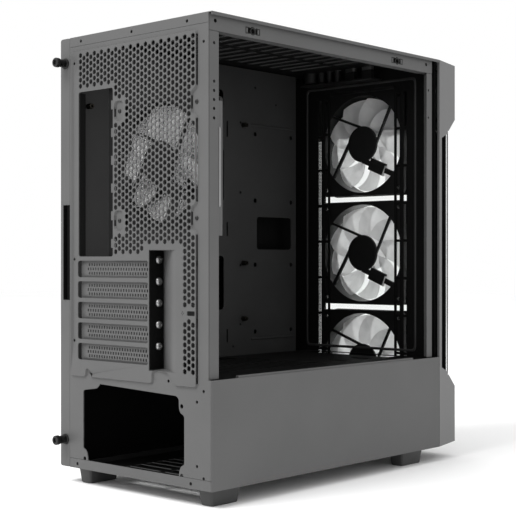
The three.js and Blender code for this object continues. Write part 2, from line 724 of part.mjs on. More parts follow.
// Square frame with four struts that carry the motor's seat on its +Y side.
function fanFrame(x, z, yBack) {
  const y0 = yBack - fanThickness;
  const outline = roundedRectangle(x - fanSize / 2, x + fanSize / 2, z - fanSize / 2, z + fanSize / 2, 6);
  const holes = [[fanBore / 2, x, z, 20]];
  for (const a of [-1, 1]) {
    for (const b of [-1, 1]) {
      holes.push([2.15, x + a * fanHoleSpacing / 2, z + b * fanHoleSpacing / 2, 5]);
    }
  }
  for (const [radius, holeX, holeZ, sides] of holes) {
    const ring = Array.from({ length: sides }, (_, k) => {
      const angle = -k / sides * 2 * Math.PI;
      return new THREE.Vector2(holeX + radius * Math.cos(angle), holeZ + radius * Math.sin(angle));
    });
    outline.holes.push(new THREE.Path(ring));
  }
  let frame = lengthwise(outline, y0, yBack);
  const seat = rodY(fanHubRadius + 1, x, z, yBack - fanStrut, yBack, 16);
  frame = join(frame, seat);
  for (const angle of [41, cableStrutAngle, 226, 322]) {
    const strutWidth = angle === cableStrutAngle ? cableStrutWidth : 4;
    const strut = new THREE.BoxGeometry(fanBore / 2 + 1 - fanHubRadius, fanStrut, strutWidth)
      .translate((fanBore / 2 + fanHubRadius) / 2, 0, 0)
      .rotateY(THREE.MathUtils.degToRad(angle))
      .translate(x, yBack - fanStrut / 2, z);
    frame = join(frame, solid(strut));
  }
  return frame;
}

// Hub with pitched blades. It turns in front of the motor's seat.
function fanRotor(x, z, yBack) {
  const hubBack = yBack - fanStrut - gap;
  const hubFront = yBack - fanThickness + 1.5;
  let rotor = rodY(fanHubRadius, x, z, hubFront, hubBack, 18);
  const tip = fanBore / 2 - fanTipClearance;
  const root = fanHubRadius - 3;
  for (let k = 0; k < bladeCount; k += 1) {
    const blade = new THREE.BoxGeometry(tip - root, 1.6, 21)
      .rotateX(THREE.MathUtils.degToRad(38))
      .translate((tip + root) / 2, 0, 0)
      .rotateY(k / bladeCount * 2 * Math.PI)
      .translate(x, (hubBack + hubFront) / 2, z);
    rotor = join(rotor, solid(blade));
  }
  return rotor;
}

const fans = [['front_fan_top', 0, fansMiddleZ + frontFanPitch, frontFanBack],
  ['front_fan_middle', 0, fansMiddleZ, frontFanBack],
  ['front_fan_bottom', 0, fansMiddleZ - frontFanPitch, frontFanBack],
  ['rear_fan', rearFanX, rearFanZ, rear - sheet - gap]];

for (const [name, x, z, yBack] of fans) {
  addPiece(`${name}_frame`, fanFrame(x, z, yBack), blackPlastic);
  addPiece(`${name}_rotor`, fanRotor(x, z, yBack), frostedPlastic);
}

// ---------------------------------------------------------------- front panel and its glass

function frontBezel() {
  const back = seam - gap;
  const outer = [[left, back], [left + bezelTaper, front], [right - bezelTaper, front], [right, back]];
  let bezel = upright(outer, bottom, top);
  const innerFront = front + bezelWall;
  const inner = [[left + bezelWall, back + 5], [left + bezelWall, back],
    [left + bezelTaper + bezelWall - 0.6, innerFront], [right - bezelTaper - bezelWall + 0.6, innerFront],
    [right - bezelWall, back], [right - bezelWall, back + 5]];
  bezel = cut(bezel, upright(inner, bottom + bezelWall, top - bezelWall));

  // The middle is set back between sloping blocks, and open for the glass
  const glassFront = glassBack - glassThickness - gap;
  const opening = [[front - 5, fansMiddleZ - chamferOuter - 2], [front, fansMiddleZ - chamferOuter],
    [glassFront, fansMiddleZ - chamferInner], [glassBack + gap, fansMiddleZ - chamferInner],
    [glassBack + gap, fansMiddleZ + chamferInner], [glassFront, fansMiddleZ + chamferInner],
    [front, fansMiddleZ + chamferOuter], [front - 5, fansMiddleZ + chamferOuter + 2]];
  bezel = cut(bezel, crosswise(opening, left - 5, right + 5));

  // Blocks are closed towards the opening by a sloping wall
  for (const side of [-1, 1]) {
    const wall = [[front + 1, chamferOuter], [front + 1, chamferOuter + bezelWall],
      [glassFront, chamferInner + bezelWall], [glassFront, chamferInner]]
      .map(([y, z]) => [y, fansMiddleZ + side * z]);
    const slope = crosswise(side > 0 ? wall.reverse() : wall, left - 5, right + 5);
    bezel = join(bezel, slope.intersect(upright(outer, bottom, top)));
  }

  // Air intakes along both sides
  const intakeEnd = chamferInner - 4.1;
  const intakeStart = intakeEnd - 5.8;
  const intake = [[seam - intakeStrip, fansMiddleZ - intakeStart],
    [glassBack + 8 * gap, fansMiddleZ - intakeEnd], [glassBack - 1, fansMiddleZ - intakeEnd],
    [glassBack - 1, fansMiddleZ + intakeEnd], [glassBack + 8 * gap, fansMiddleZ + intakeEnd],
    [seam - intakeStrip, fansMiddleZ + intakeStart]].reverse();
  return cut(bezel, crosswise(intake, left - 5, right + 5));
}

addPiece('front_bezel', frontBezel(), mouldedPlastic);

const frontGlass = block(left + glassInset, right - glassInset, glassBack - glassThickness,
  glassBack, fansMiddleZ - chamferInner + gap, fansMiddleZ + chamferInner - gap);
addPiece('front_glass', frontGlass, clearGlass);

// ---------------------------------------------------------------- drive cage

function driveCage() {
  const y0 = seam + cageFromSeam;
  const y1 = y0 + cageLength;
  const z0 = floorTop + gap;
  const height = cageBays * (bayHeight + sheet) + sheet;
  let cage = block(-cageWidth / 2, cageWidth / 2, y0, y1, z0, z0 + height);
  for (let i = 0; i < cageBays; i += 1) {
    const bayFloor = z0 + sheet + i * (bayHeight + sheet);
    cage = cut(cage, block(-cageWidth / 2 + sheet, cageWidth / 2 - sheet, y0 - 5, y1 + 5,
      bayFloor, bayFloor + bayHeight));
  }
  return cage;
}

addPiece('drive_cage', driveCage(), darkSteel);

// ---------------------------------------------------------------- right side panel and hand screws

function rightSidePanel() {
  const y0 = seam + gap;
  const bend = 2.5;
  const outline = new THREE.Shape();
  outline.moveTo(lipEdge, top);
  outline.lineTo(lipEdge, top - sheet);
  outline.lineTo(right - sheet, top - sheet);
  outline.lineTo(right - sheet, bottom + sheet);
  outline.lineTo(lipEdge, bottom + sheet);
  outline.lineTo(lipEdge, bottom);
  outline.lineTo(right - bend, bottom);
  outline.absarc(right - bend, bottom + bend, bend, -Math.PI / 2, 0);
  outline.lineTo(right, top - bend);
  outline.absarc(right - bend, top - bend, bend, 0, Math.PI / 2);
  let panel = lengthwise(outline, y0, rear);
  const flange = roundedRectangle(flangeEdge, right, bottom, top, bend);
  panel = join(panel, lengthwise(flange, rear - sheet, rear));

  // Finger grip: a notch in the flange with a lip standing out beside it
  const gripBottom = bottom + (bodyHeight - gripLength) / 2;
  const gripTop = gripBottom + gripLength;
  const gripX = flangeEdge + 6.5;
  panel = cut(panel, block(flangeEdge - 1, gripX, rear - 5, rear + 5, gripBottom, gripTop));
  panel = join(panel, block(gripX, gripX + sheet, rear - sheet, rear + 3, gripBottom, gripTop));
  for (const z of [screwUpperZ, screwLowerZ]) {
    panel = cut(panel, rodY(shankRadius + 2 * gap, right - screwFromEdge, z, rear - 5, rear + 5));
  }
  return panel;
}

addPiece('right_side_panel', rightSidePanel(), paintedSteel);

// Captive hand screws, each with a washer on its neck
for (const [name, z] of [['upper', screwUpperZ], ['lower', screwLowerZ]]) {
  const x = right - screwFromEdge;
  const washerBack = rear + gap;
  const washer = cut(rodY(washerRadius, x, z, washerBack, washerBack + washerThickness, 14),
    rodY(neckRadius + gap, x, z, rear, rear + 9, 14));
  addPiece(`thumbscrew_${name}_washer`, washer, blackScrew);

  const headStart = screwStandOut - 5.2;
  const profile = [[0, -5], [shankRadius, -5], [shankRadius, gap], [neckRadius, gap],
    [neckRadius, headStart], [screwHeadRadius, headStart + 0.8], [screwHeadRadius, screwStandOut - 0.8],
    [screwHeadRadius - 0.8, screwStandOut], [0, screwStandOut]];
  const screw = new THREE.LatheGeometry(profile.map(([r, y]) => new THREE.Vector2(r, y)), 14);
  const slotFloor = rear + screwStandOut - 1.5;
  const driveSlot = block(x - 2.8, x + 2.8, slotFloor, slotFloor + 2.5, z - 0.6, z + 0.6);
  addPiece(`thumbscrew_${name}`, cut(solid(screw.translate(x, rear, z)), driveSlot), blackScrew);
}

// ---------------------------------------------------------------- controls and sockets

const boardTop = top - boardDrop;
const ioBoard = block(-34, powerX + 9, controlsY - 10, controlsY + 10, boardTop - 1.6, boardTop);
addPiece('front_io_board', ioBoard, blackPlastic);

const socketTop = top - 0.5;
usbX.forEach((x, i) => {
  const shell = block(x - usbWidth / 2, x + usbWidth / 2, controlsY - usbThickness / 2,
    controlsY + usbThickness / 2, boardTop + gap, socketTop);
  const mouth = block(x - usbWidth / 2 + 0.6, x + usbWidth / 2 - 0.6, controlsY - usbThickness / 2 + 0.6,
    controlsY + usbThickness / 2 - 0.6, boardTop + 3, socketTop + 5);
  addPiece(`usb_socket_${i + 1}`, cut(shell, mouth), screwSteel);
});

jackX.forEach((x, i) => {
  const body = rodZ(jackRadius, x, controlsY, boardTop + gap, socketTop, 12);
  const mouth = rodZ(1.8, x, controlsY, boardTop + 2, socketTop + 5, 10);
  addPiece(`audio_jack_${i + 1}`, cut(body, mouth), blackPlastic);
});

// Each button has a flange under the roof that keeps it in, and a stem that reaches its switch.
for (const [name, x, radius] of [['power', powerX, powerRadius], ['reset', resetX, resetRadius]]) {
  const flangeTop = top - sheet - gap;
  const cap = rodZ(radius, x, controlsY, flangeTop - 1.2, top - 0.3, 16);
  const collar = rodZ(radius + 1.4, x, controlsY, flangeTop - 1.5, flangeTop, 16);
  const stem = rodZ(1.6, x, controlsY, boardTop + buttonTravel + 2 * gap, flangeTop - 1, 8);
  addPiece(`${name}_button`, join(cap, collar, stem), blackPlastic);
}

// ---------------------------------------------------------------- feet

// Tapered block with rounded upright corners, narrower at the floor.
function foot(x0, y1) {
  const lean = 1.5;
  const radius = 6;
  const outline = roundedRectangle(-footWidth / 2, footWidth / 2, -footLength / 2, footLength / 2, radius);
  const geometry = extruded(outline, footHeight - gap);
  const position = geometry.attributes.position;
  for (let i = 0; i < position.count; i += 1) {
    const high = position.getZ(i) > 1;
    position.setX(i, position.getX(i) * (high ? 1 : 1 - 2 * lean / footWidth));
    position.setY(i, position.getY(i) * (high ? 1 : 1 - 2 * lean / footLength));
  }
  return solid(geometry.translate(x0 + footWidth / 2, y1 - footLength / 2, 0));
}

const footRows = [['rear', footFromRear], ['front', chassisDepth - frontFootFromSeam]];
for (const [row, distance] of footRows) {
  addPiece(`foot_${row}_left`, foot(left + footFromLeft, fromRear(distance)), footRubber);
  addPiece(`foot_${row}_right`, foot(right - footFromRight - footWidth, fromRear(distance)), footRubber);
}

export default tower;
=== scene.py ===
# Desktop computer tower with its glass side off, seen from behind.
# Metres, +Z up. The rear faces +Y, the open side faces -X, and the floor is at Z = 0.

import math

import bmesh
import bpy
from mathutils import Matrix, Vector
from mathutils.geometry import delaunay_2d_cdt


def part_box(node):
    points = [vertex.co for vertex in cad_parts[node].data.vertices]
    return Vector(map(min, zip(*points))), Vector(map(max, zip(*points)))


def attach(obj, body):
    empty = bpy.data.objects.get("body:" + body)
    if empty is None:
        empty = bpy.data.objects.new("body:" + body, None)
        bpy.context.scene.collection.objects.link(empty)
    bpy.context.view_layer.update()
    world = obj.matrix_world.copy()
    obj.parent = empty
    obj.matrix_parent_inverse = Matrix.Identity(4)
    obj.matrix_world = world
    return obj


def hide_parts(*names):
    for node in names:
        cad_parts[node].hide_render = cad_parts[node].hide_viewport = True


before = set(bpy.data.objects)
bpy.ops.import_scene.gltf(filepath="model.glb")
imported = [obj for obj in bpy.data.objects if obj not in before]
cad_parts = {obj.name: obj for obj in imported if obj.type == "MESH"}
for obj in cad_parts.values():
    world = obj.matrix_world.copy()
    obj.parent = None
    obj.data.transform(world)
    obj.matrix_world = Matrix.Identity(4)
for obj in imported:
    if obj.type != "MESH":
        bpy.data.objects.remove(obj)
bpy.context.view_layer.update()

# ---------------------------------------------------------------- floor, light and camera
# A pale studio table under an even white sky, with one large soft light high behind the tower. The
# light falls on the rear panel and the roof, and only grazes the open side.

mm = 0.001      # pieces are drawn in millimetres, and scaled to metres when they are finished


def extent(node):
    """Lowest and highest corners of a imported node, in millimetres."""
    low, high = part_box(node)
    return Vector(low) / mm, Vector(high) / mm


bay_low, bay_high = extent("shroud_side_cover")
left, right = bay_low.x, extent("right_side_panel")[1].x
bottom, top = bay_low.z, extent("front_bezel")[1].z
rear, seam = bay_high.y, extent("front_bezel")[1].y


def from_hex(code):
    """A colour written as sRGB hex, as the linear values that a shader takes."""
    parts = [int(code[i:i + 2], 16) / 255 for i in (1, 3, 5)]
    linear = [c / 12.92 if c <= 0.04045 else ((c + 0.055) / 1.055) ** 2.4 for c in parts]
    return (*linear, 1.0)


def add_node(tree, kind, settings=None, links=None):
    """A node of that kind, with its settings or input values, fed by the sockets in links."""
    made = tree.nodes.new(kind)
    for name, value in (settings or {}).items():
        if name in made.inputs:
            made.inputs[name].default_value = value
        else:
            setattr(made, name, value)
    for name, socket in (links or {}).items():
        tree.links.new(socket, made.inputs[name])
    return made


def new_finish(name, **surface):
    """A material with one Principled shader and its even values, and the coordinates for its pattern."""
    made = bpy.data.materials.new(name)
    made.use_nodes = True
    tree = made.node_tree
    shader = tree.nodes["Principled BSDF"]
    for socket, value in surface.items():
        shader.inputs[socket.replace("_", " ")].default_value = value
    place = add_node(tree, "ShaderNodeTexCoord")
    return made, tree, shader, place.outputs["Object"]


def mottle(tree, shader, place, size, dark, light, ends=(0.0, 1.0), **noise):
    """Colour that drifts between two close tones, in soft clouds of that size in millimetres."""
    cloud = add_node(tree, "ShaderNodeTexNoise", {"Scale": 1 / (size * mm), **noise}, {"Vector": place})
    ramp = add_node(tree, "ShaderNodeValToRGB", links={"Fac": cloud.outputs["Fac"]})
    for stop, position, code in zip(ramp.color_ramp.elements, ends, (dark, light)):
        stop.position = position
        stop.color = from_hex(code)
    tree.links.new(ramp.outputs["Color"], shader.inputs["Base Color"])
    return cloud.outputs["Fac"]


def table_top():
    """Matt white laminate: almost no texture, so it only catches the tower's soft shadow."""
    made, tree, shader, place = new_finish("matt_white_laminate", Roughness=0.9, Specular_IOR_Level=0.1)
    mottle(tree, shader, place, 667, "#fbfbfb", "#ffffff", Detail=2.0)
    return made


table_reach = 6.0       # metres, from the middle to each edge
bm = bmesh.new()
bmesh.ops.create_grid(bm, x_segments=8, y_segments=8, size=table_reach)
table_mesh = bpy.data.meshes.new("studio_table")
bm.to_mesh(table_mesh)
bm.free()
table_mesh.materials.append(table_top())
table = bpy.data.objects.new("studio_table", table_mesh)
bpy.context.scene.collection.objects.link(table)

sky = bpy.data.worlds.new("studio_sky")
sky.use_nodes = True
sky.node_tree.nodes["Background"].inputs["Color"].default_value = (1, 1, 1, 1)
sky.node_tree.nodes["Background"].inputs["Strength"].default_value = 1.0
bpy.context.scene.world = sky
bpy.context.scene.view_settings.view_transform = "Standard"


def stand(name, what, place, direction):
    """Puts a lamp or a camera at a place in metres, looking that way."""
    holder = bpy.data.objects.new(name, what)
    holder.location = place
    holder.rotation_euler = Vector(direction).to_track_quat("-Z", "Y").to_euler()
    bpy.context.scene.collection.objects.link(holder)
    return holder


lamp = bpy.data.lights.new("key_light", "AREA")
lamp.shape = "SQUARE"
lamp.size = 1.2
lamp.energy = 58
lamp_place = Vector((0.25, 1.6, 2.2))
tower_middle = mm * Vector((left + right, rear + seam, top + bottom)) / 2
stand("key_light", lamp, lamp_place, tower_middle - lamp_place)

eye = bpy.data.cameras.new("camera")
eye.lens = 84.5
eye.sensor_width = 36
eye.shift_y = 0.0039    # a small shift upward, with the camera kept level
eye.clip_start = 0.05
eye_place = mm * Vector((left - 757, rear + 768.1, bottom + 207))
bpy.context.scene.camera = stand("camera", eye, eye_place, (0.6744, -0.7384, 0))

# ---------------------------------------------------------------- rear panel
# One pressed sheet of 1 mm steel, powder coated grey. Its upper field stands 2 mm proud and is
# punched with a honeycomb, and a deep recess lets the slot screws in from the side.

def emboss(tree, shader, pattern, strength, depth):
    """Lets light break on a pattern as on real bumps, of that depth in millimetres."""
    bump = add_node(tree, "ShaderNodeBump", {"Strength": strength, "Distance": depth * mm},
                    {"Height": pattern})
    tree.links.new(bump.outputs["Normal"], shader.inputs["Normal"])


def vary_gloss(tree, shader, pattern, smooth, rough):
    """Lets the roughness follow a pattern, from one value to the other."""
    spread = add_node(tree, "ShaderNodeMapRange", {"To Min": smooth, "To Max": rough}, {"Value": pattern})
    tree.links.new(spread.outputs["Result"], shader.inputs["Roughness"])


def powder_coat(name, light, dark, rough, gloss):
    """Powder coated steel: matt, with a fine orange peel and faint cloudiness in the colour."""
    made, tree, shader, place = new_finish(name, Specular_IOR_Level=gloss)
    mottle(tree, shader, place, 60, dark, light, (0.3, 0.7), Detail=3.0)
    # Real peel is about 0.3 mm across. It is drawn at 0.9 mm, so that it shows as a soft grain.
    peel = add_node(tree, "ShaderNodeTexNoise", {"Scale": 1 / (0.9 * mm), "Detail": 2.0}, {"Vector": place})
    emboss(tree, shader, peel.outputs["Fac"], 0.12, 0.1)
    vary_gloss(tree, shader, peel.outputs["Fac"], rough - 0.05, rough + 0.05)
    return made


grey_coat = powder_coat("grey_powder_coated_steel", "#515151", "#4d4d4d", 0.5, 0.4)
black_coat = powder_coat("black_powder_coated_steel", "#272727", "#222222", 0.55, 0.3)
# Black coat made far darker than the real paint, to carry the shade inside the case (painted shade).
shaded_black_coat = powder_coat("black_powder_coat_with_painted_shade", "#080808", "#050505", 0.65, 0.12)
sheet = 1       # thickness of the steel, where nothing else is said


def add_sheet(bm, lay, outline, holes=(), folds=(), thickness=sheet):
    """Sheet metal: an outline of (a, b, rise) points with holes punched through it.
    Folds are closed loops of points where the sheet changes height. lay turns (a, b, rise) to 3D."""
    points, spans = [], []
    for loop in [outline, *holes, *folds]:
        spans.append(list(range(len(points), len(points) + len(loop))))
        points.extend(loop)
    filled = spans[:1 + len(holes)]
    edges = [(s[i], s[(i + 1) % len(s)]) for s in spans[1 + len(holes):] for i in range(len(s))]
    flat = [Vector((p[0], p[1])) for p in points]
    made, _, faces, origin, _, inside = delaunay_2d_cdt(flat, edges, filled, 1, 1e-4)
    rise = [points[o[0]][2] if o else 0.0 for o in origin]
    upper = [bm.verts.new(lay(p.x, p.y, r)) for p, r in zip(made, rise)]
    lower = [bm.verts.new(lay(p.x, p.y, r - thickness)) for p, r in zip(made, rise)]
    sides = set()
    for face, within in zip(faces, inside):
        if not within or any(n > 0 for n in within):
            continue
        bm.faces.new([upper[i] for i in face])
        bm.faces.new([lower[i] for i in reversed(face)])
        sides.update((face[i], face[(i + 1) % 3]) for i in range(3))
    for a, b in sorted(sides):
        if (b, a) not in sides:
            bm.faces.new((upper[b], upper[a], lower[a], lower[b]))
    for vertex in [*upper, *lower]:
        if not vertex.link_faces:
            bm.verts.remove(vertex)


def new_piece(name, bm, finish, body, stands_for=(), bevel=0.0, smooth_angle=35, inside=None):
    """Turns a finished mesh in millimetres into a piece that rides on a body.
    Faces that the inside test picks, by centre and normal, get the shaded black: black paint darkened into
    painted shade."""
    bmesh.ops.recalc_face_normals(bm, faces=bm.faces)
    bm.normal_update()
    if inside:
        for face in bm.faces:
            face.material_index = int(inside(face.calc_center_median(), face.normal))
    bmesh.ops.scale(bm, vec=(mm, mm, mm), verts=bm.verts)
    mesh = bpy.data.meshes.new(name)
    bm.to_mesh(mesh)
    bm.free()
    mesh.materials.append(finish)
    if inside:
        # Second finish: the shaded black, which is painted shade on black paint.
        mesh.materials.append(shaded_black_coat)
    mesh.polygons.foreach_set("use_smooth", [True] * len(mesh.polygons))
    mesh.set_sharp_from_angle(angle=math.radians(smooth_angle))
    piece = bpy.data.objects.new(name, mesh)
    bpy.context.scene.collection.objects.link(piece)
    if bevel:
        rounding = piece.modifiers.new("rounded_edges", "BEVEL")
        rounding.width = bevel * mm
        rounding.segments = 2
        rounding.limit_method = "ANGLE"
        rounding.angle_limit = math.radians(40)
        rounding.harden_normals = True
    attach(piece, body)
    if stands_for:
        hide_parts(*stands_for)
    return piece


def circle(a, b, radius, sides=16, rise=0.0):
    steps = [2 * math.pi * k / sides for k in range(sides)]
    return [(a + radius * math.cos(t), b + radius * math.sin(t), rise) for t in steps]


def hexagon(a, b, flats, rise=0.0):
    """Hexagon with two upright sides, that distance apart."""
    radius = flats / math.sqrt(3)
    steps = [math.radians(30 + 60 * k) for k in range(6)]
    return [(a + radius * math.cos(t), b + radius * math.sin(t), rise) for t in steps]


def softened(points, radius, rise=0.0, steps=3):
    """Outline whose corners are cut to small curves, as a press leaves them."""
    soft = []
    for i, point in enumerate(points):
        here = Vector(point[:2])
        back = Vector(points[i - 1][:2]) - here
        on = Vector(points[(i + 1) % len(points)][:2]) - here
        reach = min(radius, back.length * 0.45, on.length * 0.45)
        start, end = here + back.normalized() * reach, here + on.normalized() * reach
        for k in range(steps + 1):
            t = k / steps
            curve = start * (1 - t) ** 2 + here * 2 * t * (1 - t) + end * t * t
            soft.append((curve.x, curve.y, rise))
    return soft


def rectangle(a0, a1, b0, b1, radius=0.0, rise=0.0):
    corners = [(a0, b0, rise), (a1, b0, rise), (a1, b1, rise), (a0, b1, rise)]
    return softened(corners, radius, rise) if radius else corners


def square_to(axis, origin, way=1):
    """How a flat drawing lies in 3D: a and b go across the axis, and rise goes along it, or back."""
    def lay(a, b, rise):
        spot = {"x": (way * rise, a, b), "y": (a, way * rise, b), "z": (a, b, way * rise)}[axis]
        return Vector(origin) + Vector(spot)
    return lay


on_rear = square_to("y", (0, rear, 0))

field_rise = extent("rear_panel")[1].y - rear
fan_low, fan_high = extent("rear_fan_frame")
fan_x, _, fan_z = (fan_low + fan_high) / 2
fan_hole = 52.5         # screw holes, across and up from the middle of the fan
flange_edge = extent("right_side_panel")[0].x
recess_x = extent("rear_left_column")[0].x
covers = [extent(f"slot_cover_{i + 1}") for i in range(5)]
cover_half = 9.2        # half the height of a slot cover
tab_rise = 4.1          # how far its bent end stands above the rest
slot_z = [high.z - tab_rise - cover_half for low, high in covers]
pocket_x = covers[0][0].x + 1.1
slot_end = covers[0][1].x - 4
shroud_top = bay_high.z - 1.9
io_x0, io_x1 = slot_end - 52.6, slot_end - 1.1
io_z0, io_z1 = fan_z - 86.8, fan_z + 75.8
field_x0, field_z0, field_z1 = left + 17.7, slot_z[4] - 25.6, top - 14.2


def field_edge(inset, rise):
    """Outline of the raised field. A notch goes round each fan screw on the open side, and the lower
    edge steps up over the connector side of the power supply."""
    a0, a1 = field_x0 + inset, flange_edge - 3 - inset
    b0, b1 = field_z0 + inset, field_z1 - inset
    points = [(a1, b0), (a1, b1), (a0, b1)]
    for z in (fan_z + fan_hole, fan_z - fan_hole):
        points += [(a0, z + 12.5 + inset), (a0 + 6.3, z + 9.5 + inset),
                   (a0 + 6.3, z - 9.5 - inset), (a0, z - 12.5 - inset)]
    ramp_x = pocket_x - 37
    points += [(a0, b0), (ramp_x + 2, b0), (ramp_x + 12, b0 + 11), (pocket_x - 4.6 + inset, b0 + 11.6),
               (pocket_x - 4.6 + inset, b0), (left + 166.5, b0), (left + 168, b0 + 8),
               (left + 171.5 + inset, b0 + 8), (left + 172.5 + inset, b0)]
    return softened(points, 3.2, rise)


def rear_panel():
    bm = bmesh.new()
    low, high = extent("rear_panel")
    edge = flange_edge - 0.3
    outline = [(low.x, low.z, 0), (edge, low.z, 0), (edge, high.z, 0), (recess_x, high.z, 0),
               (recess_x, shroud_top, 0), (low.x, shroud_top, 0)]
    folds = [field_edge(0, 0), field_edge(1.0, field_rise)]

    # Flat seats for the two fan screws that lie inside the field
    pad_x = fan_x + fan_hole
    pads = [(pad_x, fan_z + fan_hole), (pad_x, fan_z - fan_hole)]
    for a, b in pads:
        folds.append(rectangle(a - 7, a + 6.2, b - 10, b + 10, 5, field_rise))
        folds.append(rectangle(a - 6.2, a + 4.9, b - 9, b + 9, 4.4, 0.0))

    # Recess for the slot screws: its steep wall is cut away, and a ramp runs back up to the field
    deep = -16.5
    ramp_x = pocket_x - 37
    p0, p1 = slot_z[4] - 13.2, slot_z[0] + 18.2
    folds.append([(pocket_x, p0, field_rise), (pocket_x, p1, field_rise), (ramp_x, p1, field_rise),
                  (ramp_x, p0, field_rise)])
    folds.append([(pocket_x - 0.9, p0 + 0.7, deep), (pocket_x - 0.9, p1 - 0.7, deep),
                  (ramp_x + 6, p1 - 0.7, 0.9), (ramp_x + 6, p0 + 0.7, 0.9)])

    holes = []
    for z in slot_z:
        holes.append(rectangle(pocket_x + 1.2, slot_end, z - 8.2, z + 8.2, 2.8, field_rise))
    holes.append(rectangle(io_x0, io_x1, io_z0, io_z1, 2.5, field_rise))

    # Honeycomb in staggered columns: the top band, the fan's area, and a strip of three columns down
    # the open side, which a punched slot interrupts
    column, pitch, flats = 5.28, 6.07, 4.7
    comb_x, comb_z, comb_top = left + 22.2, 121.7, top - 19
    break_z = 174.6
    for k in range(31):
        x = comb_x + k * column
        for j in range(52):
            z = comb_z + j * pitch + (k % 2) * pitch / 2
            lowest = 120 if k < 3 else 240 if x < left + 86 else 230
            if x > io_x0 - 3.2:
                lowest = io_z1 + 5
            near_pad = any(abs(x - a) < 10 and abs(z - b) < 12.5 for a, b in pads)
            near_notch = k == 0 and any(abs(z - b) < 13.5 for _, b in pads)
            in_break = k < 3 and abs(z - break_z) < 5
            if lowest < z < comb_top and not near_pad and not near_notch and not in_break:
                holes.append(hexagon(x, z, flats, field_rise))
    holes.append(rectangle(left + 19.9, left + 30, break_z - 2.1, break_z + 2.1, 0.8, field_rise))
    for a, b in [(-1.3, 0), (1.3, 0), (0, -1.3), (0, 1.3)]:
        holes.append(circle(left + 35.5 + a, break_z + b, 0.6, 6, field_rise))

    # Power supply cut-out with its four screw holes
    psu_x, psu_z = left + 38.8, bottom + 10
    corners = [(-3.4, 10.5), (0.6, 9), (3, 4.5), (3.4, -1.1), (132.4, -1.1), (133.5, 6), (135.8, 9.8),
               (139.7, 11), (139.7, 68.5), (119, 71.5), (116, 74.5), (112, 76), (7, 72.5), (3.8, 70),
               (3.6, 62), (2, 57.5), (-3.4, 55)]
    holes.append(softened([(psu_x + a, psu_z + b) for a, b in corners], 2))
    for a, b in [(0, 0.1), (137.5, 0.9), (0, 63.6), (113.5, 74.1)]:
        holes.append(circle(psu_x + a, psu_z + b, 2.1))

    # Fan screw holes, then rivet and locating holes, as (from the open side, height)
    for b in (fan_z + fan_hole, fan_z - fan_hole):
        holes.append(circle(fan_x - fan_hole, b, 2.1))
        holes.append(circle(pad_x, b, 2.1))
    for a, b in [(10.5, 418.9), (10.5, 105.2), (10.5, 27), (19, 95), (19, 37), (56.2, 111.5),
                 (192.6, 418.7), (192.4, 223.7), (192.4, 142.9), (165.7, 110.5)]:
        holes.append(circle(left + a, b, 1.5, 12))
    # The steep edges that face the open side are cut into slits, so that the black interior shows as a
    # dark line, which stands for the shade on those edges
    cuts = [fan_z - fan_hole, fan_z + fan_hole]
    slits = [(field_x0, low_end, high_end, 0, 1, field_rise) for low_end, high_end in
             [(field_z0 + 4, cuts[0] - 15), (cuts[0] + 15, cuts[1] - 15), (cuts[1] + 15, field_z1 - 4)]]
    slits += [(field_x0 + 6.3, b - 6, b + 6, 0, 1, field_rise) for b in cuts]
    slits += [(a + 4.9, b - 5, b + 5, 0, 1.3, field_rise) for a, b in pads]
    for x, low_end, high_end, rise, run, top_rise in slits:
        holes.append([(x, low_end, rise), (x + run, low_end, top_rise), (x + run, high_end, top_rise),
                      (x, high_end, rise)])
    add_sheet(bm, on_rear, outline, holes, folds)

    # The edge steps in under the side panel's flange, where the hand screws bite. It takes the shaded
    # black, which stands for the shade behind the flange and its finger grip (painted shade).
    seat = -1.4
    x0, x1 = edge - sheet, right - 1.3
    bores = [circle(right - 8, extent(f"thumbscrew_{n}_washer")[0].z + 5.5, 2, 16, seat)
             for n in ("upper", "lower")]
    add_sheet(bm, on_rear, rectangle(x0, x1, low.z, high.z, 0, seat), bores)

    # Faces that look into the case also take the shaded black: black paint, darkened for painted shade.
    def is_inside(centre, normal):
        return normal.y < -0.4 or centre.x > edge - 0.2

    return new_piece("rear_panel_sheet", bm, grey_coat, "chassis", ["rear_panel"],
                     inside=is_inside)


rear_panel()


def add_block(bm, low, high):
    """Bar or tab with square edges. The bevel comes when the piece is finished."""
    made = bmesh.ops.create_cube(bm, size=1)["verts"]
    for vertex in made:
        vertex.co = Vector([low[i] + (vertex.co[i] + 0.5) * (high[i] - low[i]) for i in range(3)])


def pocket_wall():
    """Black strip behind the slot screws, with a round seat under each screw head. Its black stands for the
    shade on the recess's steep wall (painted shade).
    """
    bm = bmesh.new()
    on_wall = square_to("x", (pocket_x - 1.1, 0, 0), -1)
    back = rear - 15.9
    seats = [circle(extent(f"slot_screw_{i + 1}")[0].y + 3.8, slot_z[i] + 8.9, 1.9) for i in range(5)]
    outline = rectangle(back, rear + field_rise - 0.2, slot_z[4] - 12.3, slot_z[0] + 17.3, 0.8)
    add_sheet(bm, on_wall, outline, seats, thickness=0.6)
    return new_piece("slot_screw_recess_shade", bm, shaded_black_coat, "chassis")


pocket_wall()


